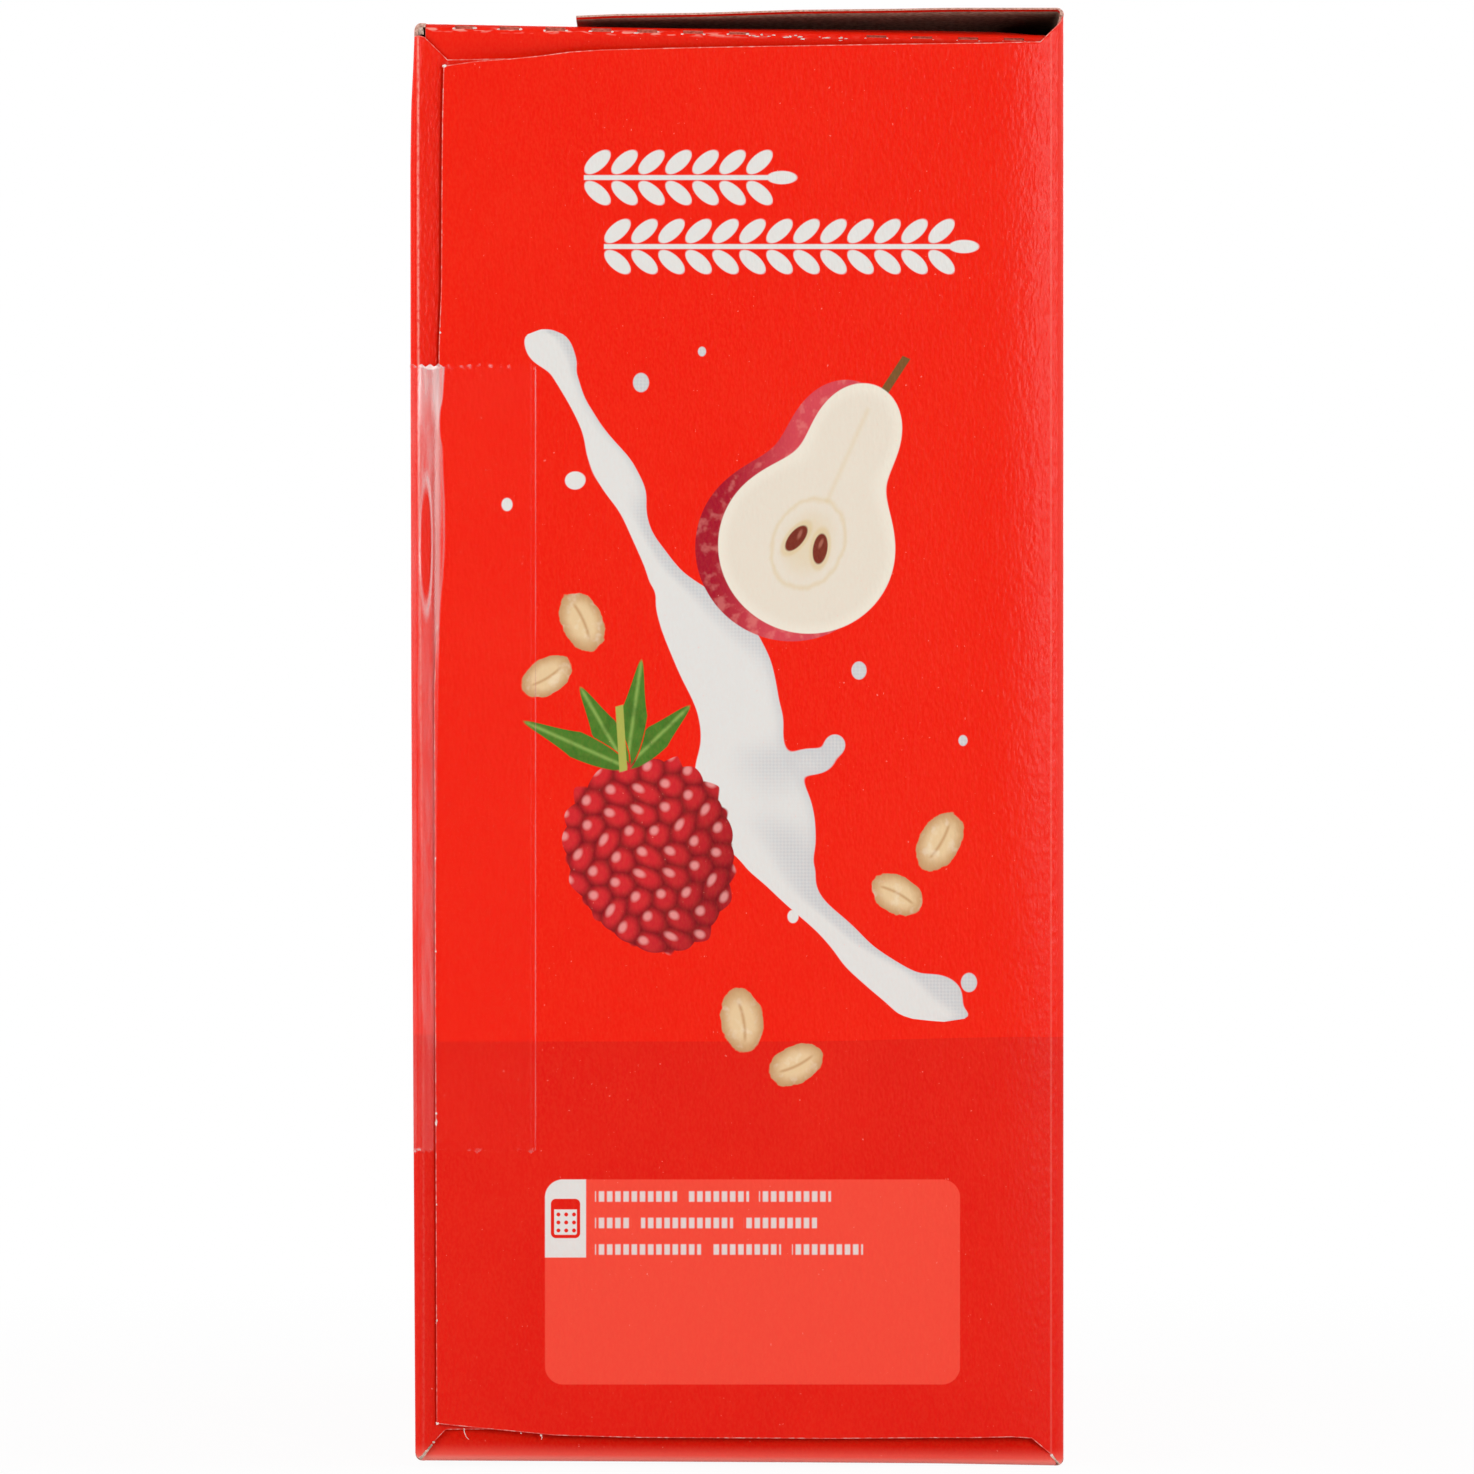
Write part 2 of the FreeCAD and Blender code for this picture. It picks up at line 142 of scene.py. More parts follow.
class Graph:
    """The node tree of one material or of the world."""

    def __init__(self, tree: bpy.types.NodeTree) -> None:
        """Empties the tree to start from."""
        self.tree = tree
        tree.nodes.clear()

    def node(self, kind: str, settings: Optional[dict] = None,
             inputs: Optional[dict] = None) -> bpy.types.Node:
        """Adds a node.

        Args:
            kind: the node's type name.
            settings: attributes, set before the sockets.
            inputs: what goes into each socket, by identifier, name or number.

        Returns:
            The node.
        """
        made = self.tree.nodes.new(kind)
        for name, setting in (settings or {}).items():
            setattr(made, name, setting)
        by_identifier = {socket.identifier: socket for socket in made.inputs}
        for key, given in (inputs or {}).items():
            socket = by_identifier[key] if key in by_identifier else made.inputs[key]
            if isinstance(given, Socket):
                self.tree.links.new(given.out, socket)
            else:
                socket.default_value = given
        return made

    def math(self, operation: str, *values: Value) -> Socket:
        """One Math node on numbers and values."""
        made = self.node("ShaderNodeMath", {"operation": operation}, dict(enumerate(values)))
        return Socket(self, made.outputs[0])

    def vector(self, operation: str, *given: Union[Socket, Sequence[float]]) -> Socket:
        """One Vector Math node. LENGTH and DOT_PRODUCT give a value, the others a vector."""
        made = self.node("ShaderNodeVectorMath", {"operation": operation}, dict(enumerate(given)))
        return Socket(self, made.outputs["Value" if operation in ("LENGTH", "DOT_PRODUCT") else "Vector"])

    def step(self, value: Value, low: float, high: float, to: tuple[float, float] = (0.0, 1.0)) -> Socket:
        """Smooth step: to[0] where the value is low, to[1] where it is high."""
        made = self.node("ShaderNodeMapRange", {"interpolation_type": "SMOOTHSTEP"},
                         {0: value, 1: low, 2: high, 3: to[0], 4: to[1]})
        return Socket(self, made.outputs[0])

    def cover(self, distance: Value, blur: float = 0.06) -> Socket:
        """1 inside a printed shape and 0 outside, from its signed distance in millimetres."""
        return self.step(distance, -blur, blur, (1.0, 0.0))

    def between(self, value: Value, low: float, high: float, blur: float = 0.06) -> Socket:
        """1 where a value lies between two others."""
        half = (high - low) / 2
        return self.cover(abs(value - (low + half)) - half, blur)

    def blend(self, part: Value, start: Value, end: Value) -> Socket:
        """A number between two others."""
        return self.math("MULTIPLY_ADD", part, end - start, start)

    def mix(self, part: Value, under: Union[Socket, Colour], over: Union[Socket, Colour]) -> Socket:
        """One colour laid over another."""
        made = self.node("ShaderNodeMix", {"data_type": "RGBA"},
                         {"Factor_Float": part, "A_Color": under, "B_Color": over})
        return Socket(self, next(out for out in made.outputs if out.identifier == "Result_Color"))

    def layers(self, under: Union[Socket, Colour], *inks: tuple[Value, Colour]) -> Union[Socket, Colour]:
        """A colour with inks laid over it in order, each as how much of it there is and its colour."""
        for part, ink in inks:
            under = self.mix(part, under, ink)
        return under

    def point(self, x: Value, y: Value, z: Value = 0.0) -> Socket:
        """A vector from three values."""
        return Socket(self, self.node("ShaderNodeCombineXYZ", None, {0: x, 1: y, 2: z}).outputs[0])

    def noise(self, place: Socket, scale: float, detail: float = 2.0,
              stretch: Sequence[float] = (1, 1, 1)) -> Socket:
        """Soft random values from 0 to 1, with the pattern drawn out along some axes."""
        put = self.node("ShaderNodeMapping", None, {"Vector": place, "Scale": tuple(stretch)})
        made = self.node("ShaderNodeTexNoise", None,
                         {"Vector": Socket(self, put.outputs[0]), "Scale": scale, "Detail": detail})
        return Socket(self, made.outputs[0])

    def lattice(self, place: Socket, half_a: float, half_b: float) -> Socket:
        """A flat place measured from the nearest point of a staggered lattice, given half its pitches."""
        low, high = (-half_a, -half_b, 0.0), (half_a, half_b, 0.0)
        rows = [self.vector("WRAP", start, low, high) for start in (place, self.vector("ADD", place, high))]
        nearer = self.math("LESS_THAN", self.vector("LENGTH", rows[1]), self.vector("LENGTH", rows[0]))
        return self.mix(nearer, rows[0], rows[1])

    def parts(self, vector: Union[Socket, Colour]) -> list[Socket]:
        """The three values of a vector."""
        return [Socket(self, out) for out in self.node("ShaderNodeSeparateXYZ", None, {0: vector}).outputs]

    def millimetres(self) -> tuple[Socket, Socket, Socket, Socket]:
        """The place on the object in millimetres, as x, y, z and one vector."""
        own = Socket(self, self.node("ShaderNodeTexCoord").outputs["Object"])
        scaled = self.node("ShaderNodeVectorMath", {"operation": "SCALE"}, {"Vector": own, "Scale": 1 / MM})
        place = Socket(self, scaled.outputs[0])
        x, y, z = self.parts(place)
        return x, y, z, place

    def follow(self, value: Value, knots: Knots) -> Socket:
        """A smooth curve through a few points, as a function of a value."""
        (low, high), (least, most) = ((min(column), max(column)) for column in zip(*knots))
        share = (value - low) * (1 / (high - low))
        made = self.node("ShaderNodeFloatCurve", None, {"Value": share})
        drawn = made.mapping.curves[0]
        for index, (at, height) in enumerate(knots):
            spot = ((at - low) / (high - low), (height - least) / (most - least))
            if index < 2:
                drawn.points[index].location = spot
            else:
                drawn.points.new(*spot)
        made.mapping.update()
        return Socket(self, made.outputs[0]) * (most - least) + least

    def bump(self, height: Socket, distance: float, strength: float = 1.0) -> Socket:
        """A normal from a height between 0 and 1 over a distance in millimetres."""
        made = self.node("ShaderNodeBump", None,
                         {"Height": height, "Distance": distance * MM, "Strength": strength})
        return Socket(self, made.outputs[0])

    def shader(self, sockets: dict) -> Socket:
        """A Principled shader."""
        return Socket(self, self.node("ShaderNodeBsdfPrincipled", None, sockets).outputs[0])

    def light(self, kind: str, grey: float, strength: Optional[float] = None) -> Socket:
        """A colourless shader of the stage: how grey it is and, if it glows, how strongly."""
        glow = {} if strength is None else {"Strength": strength}
        return Socket(self, self.node(kind, None, {"Color": (grey, grey, grey, 1.0), **glow}).outputs[0])

    def either(self, part: Socket, first: Socket, second: Socket) -> Socket:
        """The first shader where a part is 0 and the second where it is 1."""
        made = self.node("ShaderNodeMixShader", None, {0: part, 1: first, 2: second})
        return Socket(self, made.outputs[0])

    def end(self, surface: Socket, output: str = "ShaderNodeOutputMaterial") -> None:
        """Ends the graph in a shader."""
        self.node(output, None, {"Surface": surface})

    def finish(self, sockets: dict) -> None:
        """Ends a material in one Principled shader."""
        self.end(self.shader(sockets))


def new_material(name: str) -> tuple[bpy.types.Material, Graph]:
    """An empty node material and its graph."""
    material = bpy.data.materials.new(name)
    material.use_nodes = True
    return material, Graph(material.node_tree)


# ------------------------------------------------------------------------------------------------ the print

@dataclass(frozen=True)
class Motif:
    """Where a printed motif lies on an end panel: middle, turn in degrees, and size factor."""

    across: float
    up: float
    turn: float = 0.0
    size: float = 1.0

    def local(self, graph: Graph, place: Socket) -> tuple[Socket, Socket]:
        """A place on the panel in the motif's own frame."""
        turn = math.radians(self.turn)
        cos, sin = math.cos(turn) / self.size, math.sin(turn) / self.size
        a, b = (graph.vector("DOT_PRODUCT", place, (right, up, 0.0)) - (self.across * right + self.up * up)
                for right, up in ((cos, sin), (-sin, cos)))
        return a, b


@dataclass(frozen=True)
class Inks:
    """The print's colours."""

    red: Colour = tone(243, 27, 6)
    red_light: Colour = tone(252, 52, 26)
    band: Colour = tone(229, 24, 11)
    field: Colour = tone(246, 74, 57)
    cream: Colour = tone(229, 228, 224)
    cream_shade: Colour = tone(205, 206, 207)
    flesh: Colour = tone(233, 223, 206)
    flesh_rim: Colour = tone(244, 238, 222)
    flesh_core: Colour = tone(222, 198, 148)
    skin: Colour = tone(214, 72, 84)
    skin_dark: Colour = tone(165, 18, 42)
    skin_light: Colour = tone(238, 150, 140)
    seed: Colour = tone(120, 46, 34)
    seed_light: Colour = tone(190, 120, 100)
    stalk: Colour = tone(120, 84, 44)
    stalk_green: Colour = tone(176, 180, 84)
    fruit: Colour = tone(212, 38, 46)
    fruit_dark: Colour = tone(118, 10, 22)
    fruit_light: Colour = tone(248, 176, 172)
    leaf: Colour = tone(74, 124, 40)
    leaf_light: Colour = tone(150, 184, 92)
    leaf_dark: Colour = tone(44, 92, 24)
    grain: Colour = tone(232, 203, 158)
    grain_dark: Colour = tone(188, 134, 84)
    grain_light: Colour = tone(250, 238, 214)


@dataclass(frozen=True)
class Print:
    """The print's colours and the parts of a panel, each 0 or 1, that say which colour holds."""

    ground: Socket
    poured: Socket
    pictured: Socket
    written: Socket
    margin: Socket
    fruits: Socket
    words: Socket


@dataclass(frozen=True)
class PrintDesign:
    """The generic design of an end panel: grain ears, cut fruit, cluster fruit, milk ribbon and oat flakes.

    Sizes are in millimetres, across from the panel's middle and up from the base.
    """

    print_blur: float = 0.08
    band_top: float = 42.5
    field_low: tuple[float, float] = (-19.2, 8.2)
    field_high: tuple[float, float] = (22.3, 28.7)
    field_round: float = 1.8
    tab_width: float = 4.1
    tab_foot: float = 20.9
    sign_low: tuple[float, float] = (-18.45, 23.0)
    sign_high: tuple[float, float] = (-15.85, 26.6)
    sign_head: float = 25.7
    dash_rows: tuple[tuple[float, Knots], ...] = (
        (27.0, ((-14.2, -6.0), (-5.0, 1.2), (2.2, 9.4))),
        (24.35, ((-14.2, -10.6), (-9.6, -0.4), (0.7, 8.0))),
        (21.7, ((-14.2, -3.6), (-2.5, 4.4), (5.5, 12.6))),
    )
    dash_pitch: float = 0.82
    dash_half: float = 0.52
    ear_pitch: float = 2.7
    ear_lean: float = 0.72
    ear_rows: tuple[tuple[float, float, int], ...] = ((-13.3, 122.0, 13), (-15.3, 128.9, 7))
    copy_middle: float = 33.5
    margin_from: float = 25.2
    pictures_between: tuple[float, float] = (33.0, 116.5)
    fruit_middles: tuple[tuple[float, float], ...] = ((9.0, 96.5), (-9.9, 65.8))
    fruit_reach: float = 17.0
    cut_fruit: Motif = Motif(9.0, 96.5, -24.0, 1.0)
    cluster: Motif = Motif(-8.5, 61.0, 16.0, 1.0)
    cluster_halves: tuple[float, float] = (8.4, 9.9)
    bead_pitch: tuple[float, float] = (1.32, 2.2)
    leaves: Knots = ((-62.0, 4.4), (-24.0, 5.4), (14.0, 4.6), (50.0, 5.6))
    leaf_root: float = 9.3
    flakes: tuple[Motif, ...] = (
        Motif(-15.5, 84.5, 24, 1.05), Motif(-19.0, 79.0, -58, 0.92), Motif(20.3, 62.5, -30, 1.05),
        Motif(16.0, 57.2, 62, 0.95), Motif(0.5, 44.6, 10, 1.08), Motif(5.9, 40.2, -64, 0.96),
    )
    flake_halves: tuple[float, float] = (1.95, 2.95)
    drops: tuple[tuple[float, float, float], ...] = (
        (-23.0, 96.2, 0.55), (-9.6, 108.4, 0.8), (-2.2, 84.6, 0.6), (12.2, 79.6, 0.75), (22.6, 72.6, 0.45),
        (5.6, 55.0, 0.55), (23.2, 48.4, 0.8), (-3.5, 111.5, 0.4),
    )
    stream_middle: Knots = (
        (44.5, 20.5), (48.0, 16.5), (53.0, 10.5), (60.0, 4.2), (68.0, 1.4), (76.0, 0.2), (84.0, -3.0),
        (91.0, -8.2), (98.0, -11.5), (105.0, -15.2), (113.5, -19.5),
    )
    stream_half: Knots = (
        (44.5, 0.0), (45.6, 3.4), (49.0, 3.3), (54.0, 2.0), (60.0, 3.4), (68.0, 5.4), (74.0, 4.3),
        (81.0, 5.0), (88.0, 2.5), (94.0, 1.3), (99.0, 2.1), (105.0, 0.95), (109.0, 1.2), (112.0, 2.0),
        (113.5, 0.0),
    )
    splashes: tuple[tuple[float, float, float, float], ...] = (
        (-19.0, 112.0, 1.9, 1.7), (7.4, 70.5, 2.2, 1.3), (9.8, 72.2, 1.0, 1.0),
        (19.6, 47.0, 2.9, 2.2), (-16.2, 98.6, 1.0, 0.9),
    )
    inks: Inks = Inks()

    def disc(self, g: Graph, a: Value, b: Value, half_a: float, half_b: float) -> Socket:
        """Signed distance to an ellipse about the origin."""
        return self.spot(g, g.point(a, b), (0.0, 0.0), (half_a, half_b))

    def spot(self, g: Graph, place: Socket, middle: tuple[float, float],
             halves: tuple[float, float]) -> Socket:
        """Signed distance to an ellipse about a point."""
        scale = (1 / halves[0], 1 / halves[1], 0.0)
        shift = (-middle[0] / halves[0], -middle[1] / halves[1], 0.0)
        ring = g.vector("LENGTH", g.vector("MULTIPLY_ADD", place, scale, shift))
        return g.math("MULTIPLY_ADD", ring, min(halves), -min(halves))

    def box(self, g: Graph, u: Value, v: Value, low: tuple[float, float], high: tuple[float, float],
            radius: float) -> Socket:
        """Signed distance to a rectangle with rounded corners."""
        sides = []
        for value, start, end in ((u, low[0], high[0]), (v, low[1], high[1])):
            sides.append(abs(value - (start + end) / 2) - ((end - start) / 2 - radius))
        outside = [g.math("MAXIMUM", side, 0.0) for side in sides]
        corner = g.math("SQRT", outside[0] * outside[0] + outside[1] * outside[1])
        inside = g.math("MINIMUM", g.math("MAXIMUM", sides[0], sides[1]), 0.0)
        return corner + inside - radius

    def ears(self, g: Graph, u: Value, v: Value) -> Socket:
        """Coverage of the two rows of grain ears near the top."""
        pitch = self.ear_pitch
        cos, sin = math.cos(self.ear_lean), math.sin(self.ear_lean)
        (low_start, low_up, low_count), (high_start, high_up, high_count) = self.ear_rows
        upper = g.math("GREATER_THAN", v, (low_up + high_up) / 2)
        left = g.blend(upper, low_start, high_start)
        right = g.blend(upper, low_start + low_count * pitch, high_start + high_count * pitch)
        height = v - g.blend(upper, low_up, high_up)
        cell = g.math("FLOORED_MODULO", u - left, pitch) - pitch / 2
        side = abs(height) - 1.55
        grain = self.disc(g, cell * cos + side * sin, side * cos - cell * sin, 1.6, 0.78)
        row = g.cover(g.math("MINIMUM", grain, abs(height) - 0.24))
        row = row * g.cover(left - u) * g.cover(u - right)
        tip = g.cover(self.disc(g, u - right - 0.9, height, 1.5, 0.66))
        return g.math("MAXIMUM", row, tip)

    def dashes(self, g: Graph, u: Value, v: Value) -> Socket:
        """Coverage of the three plain rows of short dashes beside the tab."""
        total: Value = 0.0
        ticks = g.between(g.math("FLOORED_MODULO", u, self.dash_pitch), 0.12, 0.66, 0.08)
        for middle, groups in self.dash_rows:
            line = g.between(v, middle - self.dash_half, middle + self.dash_half, 0.08)
            spans: Value = 0.0
            for start, end in groups:
                spans = g.between(u, start, end) + spans
            total = line * spans + total
        return total * ticks

    def oats(self, g: Graph, colour: Socket, place: Socket, grit: Socket) -> Socket:
        """The oat flakes: pale ovals with a crease and a darker rim, inked once for the nearest of them."""
        nearest: Union[Socket, Colour] = FAR_OFF
        wobble = (grit - 0.5) * 0.55
        for motif in self.flakes:
            a, b = motif.local(g, place)
            edge = self.disc(g, a, b, *self.flake_halves) + wobble
            here = g.math("LESS_THAN", edge, self.print_blur)
            nearest = g.mix(here, nearest, g.point(a, b, edge))
        a, b, edge = g.parts(nearest)
        crease = g.cover(abs(a + b * b * 0.06 - 0.15) - 0.12, 0.16) * g.step(edge, -0.5, -1.0)
        body = g.layers(
            self.inks.grain,
            (g.step(edge, -1.1, 0.0) * 0.75, self.inks.grain_dark),
            (crease * 0.7, self.inks.grain_dark),
            (g.step(grit, 0.52, 0.75) * 0.35, self.inks.grain_light),
        )
        return g.mix(g.cover(edge), colour, body)

    def ribbon(self, g: Graph, colour: Socket, u: Value, v: Value, place: Socket, wave: Socket) -> Socket:
        """The poured ribbon, from high on the left down to the right, with its drops."""
        middle = g.follow(v, self.stream_middle) + (wave - 0.5) * 1.2
        half = g.follow(v, self.stream_half) + (wave - 0.5) * 1.4 * g.between(v, 50.0, 108.0, 3.0)
        foot, head = self.stream_middle[0][0], self.stream_middle[-1][0]
        past_ends = abs(v - (foot + head) / 2) - (head - foot) / 2
        away = g.math("MAXIMUM", (abs(u - middle) - half) * 0.85, past_ends)
        lobes = away
        for across, up, half_a, half_b in self.splashes:
            lobes = g.math("SMOOTH_MIN", lobes, self.spot(g, place, (across, up), (half_a, half_b)), 2.0)
        for across, up, radius in self.drops:
            lobes = g.math("MINIMUM", lobes, self.spot(g, place, (across, up), (radius, radius * 1.2)))
        side = (u - middle) / g.math("MAXIMUM", half, 0.8)
        dots = g.math("SINE", (u + v) * 9.0) * g.math("SINE", (u - v) * 9.0)
        fold = g.math("SINE", v * 0.19 + side * 1.4 + wave * 5.0)
        shade = g.step(side + fold * 0.55, 0.05, 1.1) * g.step(dots, -0.3, 0.4, (0.6, 1.0))
        body = g.layers(
            self.inks.cream,
            (shade, self.inks.cream_shade),
            (g.step(lobes, -0.9, -0.1) * g.step(side, -0.6, 0.8) * 0.4, self.inks.cream_shade),
        )
        return g.mix(g.cover(lobes), colour, body)

    def half_fruit(self, g: Graph, colour: Socket, place: Socket, grit: Socket) -> Socket:
        """The cut fruit: red skin behind, pale flesh, a core with two pips, and a stalk."""
        inks = self.inks
        a, b = self.cut_fruit.local(g, place)
        own = g.point(a, b)
        outlines = []
        for shift_a, shift_b, grow in ((1.5, 0.9, 0.55), (0.0, 0.0, 0.0)):
            belly = self.spot(g, own, (-shift_a, -5.0 - shift_b), (8.9 + grow, 8.6 + grow))
            neck = self.spot(g, own, (-shift_a, 7.2 - shift_b), (4.4 + grow, 5.4 + grow))
            outlines.append(g.math("SMOOTH_MIN", belly, neck, 7.5))
        skin, flesh = outlines
        stalk = g.math("MAXIMUM", abs(a - 0.7 - (b - 12.0) * 0.16) - 0.42, abs(b - 14.2) - 2.2)
        side = g.layers(
            inks.skin,
            (g.step(a + b * 0.3, -3.0, -11.5), inks.skin_dark),
            (g.step(grit, 0.5, 0.72) * 0.35, inks.skin_light),
        )
        core_b = -4.6
        core = self.spot(g, own, (0.0, core_b), (3.5, 4.6)) + (grit - 0.5) * 0.5
        vein = g.math("MAXIMUM", abs(a) - 0.2, abs(b - 5.0) - 5.2)
        cut = g.layers(
            inks.flesh,
            (g.step(flesh, -1.4, -0.15) * 0.5, inks.flesh_rim),
            (g.cover(abs(core) - 0.16, 0.2) * 0.45, inks.flesh_core),
            (g.step(core, -0.2, -2.4) * 0.4, inks.flesh_core),
            (g.cover(vein, 0.25) * 0.3, inks.flesh_core),
        )
        for sign in (-1, 1):
            pip = self.disc(g, a * 0.96 - sign * 1.25 + (b - core_b) * 0.2 * sign, b - core_b, 0.72, 1.5)
            glint = self.spot(g, own, (sign * 1.15, -4.1), (0.16, 0.45))
            cut = g.layers(
                cut,
                (g.cover(pip - 0.3, 0.14) * 0.6, inks.flesh_core),
                (g.cover(pip), inks.seed),
                (g.cover(glint, 0.1) * 0.6, inks.seed_light),
            )
        return g.layers(colour, (g.cover(stalk), inks.stalk), (g.cover(skin), side), (g.cover(flesh), cut))

    def cluster_fruit(self, g: Graph, colour: Socket, place: Socket, grit: Socket) -> Socket:
        """The cluster fruit: many round drupelets under a few pointed sepals."""
        inks = self.inks
        a, b = self.cluster.local(g, place)
        own = g.point(a, b)
        sway = g.vector("SINE", g.point(b * 0.9 + 1.0, a * 0.62))
        centred = g.lattice(g.vector("MULTIPLY_ADD", sway, (0.42, 0.5, 0.0), own), *self.bead_pitch)
        bead = g.vector("LENGTH", centred) * 0.37
        glint = g.vector("LENGTH", g.vector("ADD", centred, (0.42, -0.5, 0.0))) * 0.37
        outline = self.disc(g, a * (1.0 - b * 0.012), b, *self.cluster_halves) + (bead - 0.35) * 1.5
        body = g.layers(
            inks.fruit,
            (g.step(bead, 0.2, 0.6), inks.fruit_dark),
            (g.step(a - b * 0.6, -2.0, 12.0) * 0.55, inks.fruit_dark),
            (g.step(glint, 0.24, 0.08) * 0.62, inks.fruit_light),
        )
        nearest: Union[Socket, Colour] = FAR_OFF
        for turn, length in self.leaves:
            leaf_a, leaf_b = Motif(0.0, self.leaf_root, turn).local(g, own)
            far = leaf_b - length
            blade = self.disc(g, leaf_a * (1.0 + g.math("MAXIMUM", far, 0.0) * 0.25), far, 1.35, length)
            here = g.math("LESS_THAN", blade, self.print_blur)
            nearest = g.mix(here, nearest, g.point(leaf_a, far, blade))
        from_rib, _, blade = g.parts(nearest)
        green = g.layers(
            inks.leaf,
            (g.cover(abs(from_rib) - 0.14, 0.2) * 0.8, inks.leaf_light),
            (g.step(grit, 0.45, 0.7) * 0.4, inks.leaf_dark),
        )
        stalk = g.math("MAXIMUM", abs(a + 0.4 - (b - 9.0) * 0.22) - 0.4, abs(b - 12.2) - 3.2)
        return g.layers(colour, (g.cover(outline), body), (g.cover(blade), green),
                        (g.cover(stalk), inks.stalk_green))

    def date_field(self, g: Graph, colour: Socket, u: Value, v: Value, on_end: Value) -> Socket:
        """The light empty field with its tab, a small day-grid sign on it, and rows of dashes."""
        low, high = self.field_low, self.field_high
        field = self.box(g, u, v, low, high, self.field_round)
        tab = g.math("MAXIMUM", field, u - (low[0] + self.tab_width))
        tab = g.math("MAXIMUM", tab, self.tab_foot - v)
        sign = self.box(g, u, v, self.sign_low, self.sign_high, 0.35)
        head = g.math("MAXIMUM", sign, self.sign_head - v)
        frame_line = abs(sign) - 0.17
        cell_u = g.math("FLOORED_MODULO", u - (self.sign_low[0] + 0.2), 0.78) - 0.39
        cell_v = g.math("FLOORED_MODULO", v - (self.sign_low[1] + 0.2), 0.8) - 0.4
        dots = g.math("MAXIMUM", self.disc(g, cell_u, cell_v, 0.2, 0.2), sign + 0.25)
        mark = g.cover(g.math("MINIMUM", g.math("MINIMUM", frame_line, head), dots), 0.04)
        return g.layers(
            colour,
            (g.cover(field) * on_end, self.inks.field),
            (g.cover(tab) * on_end, g.mix(mark, self.inks.cream, self.inks.band)),
            (self.dashes(g, u, v) * on_end * 0.86, self.inks.cream),
        )

    def paint(self, g: Graph, x: Socket, y: Socket, z: Socket, place: Socket) -> Print:
        """The print, drawn apart for the parts of a panel so that each part costs only its own motifs.

        Args:
            g: the material's graph.
            x, y, z, place: the place in millimetres.

        Returns:
            The colours and the parts.
        """
        on_end = g.step(abs(y), 65.6, 65.7)
        end_u = x * g.math("SIGN", y) * -1.0
        u = g.blend(on_end, self.copy_middle - abs(y), end_u)
        v = z
        own = g.point(u, v)
        wave = g.noise(place, 0.11, 1.0)
        # The band's top edge climbs a little to the right, and sits higher on the flap below the outer one.
        top = g.step(x, 4.0, 30.0) * 0.45 + self.band_top
        top = g.step(x, -29.9, -30.1) * 0.7 + top
        ground = g.layers(
            self.inks.red,
            (g.cover(z - top, 0.05), self.inks.band),
            (g.step(wave, 0.3, 0.8) * 0.1, self.inks.red_light),
        )

        low, high = self.pictures_between
        words = g.math("MAXIMUM", g.math("LESS_THAN", v, low), g.math("GREATER_THAN", v, high))
        written = g.mix(self.ears(g, u, v), self.date_field(g, ground, u, v, on_end), self.inks.cream)

        grit = g.noise(place, 0.9, 2.0)
        reach = (self.fruit_reach, self.fruit_reach)
        fruits = g.math("MINIMUM", *(self.spot(g, own, middle, reach) for middle in self.fruit_middles))
        poured, pictured = (self.ribbon(g, ground, u, v, own, wave) for _ in range(2))
        pictured = self.cluster_fruit(g, self.half_fruit(g, pictured, own, grit), own, grit)
        return Print(
            ground, self.oats(g, poured, own, grit), self.oats(g, pictured, own, grit), written,
            g.math("GREATER_THAN", abs(u), self.margin_from), g.math("LESS_THAN", fruits, 0.0), words,
        )


# ------------------------------------------------------------------------------------------------- finishes

class Finish(Enum):
    """The faces that a board piece has, in the order of its material slots."""

    PRINT = 0
    CORE = 1
    INSIDE = 2
    WORN = 3
    SLOT = 4


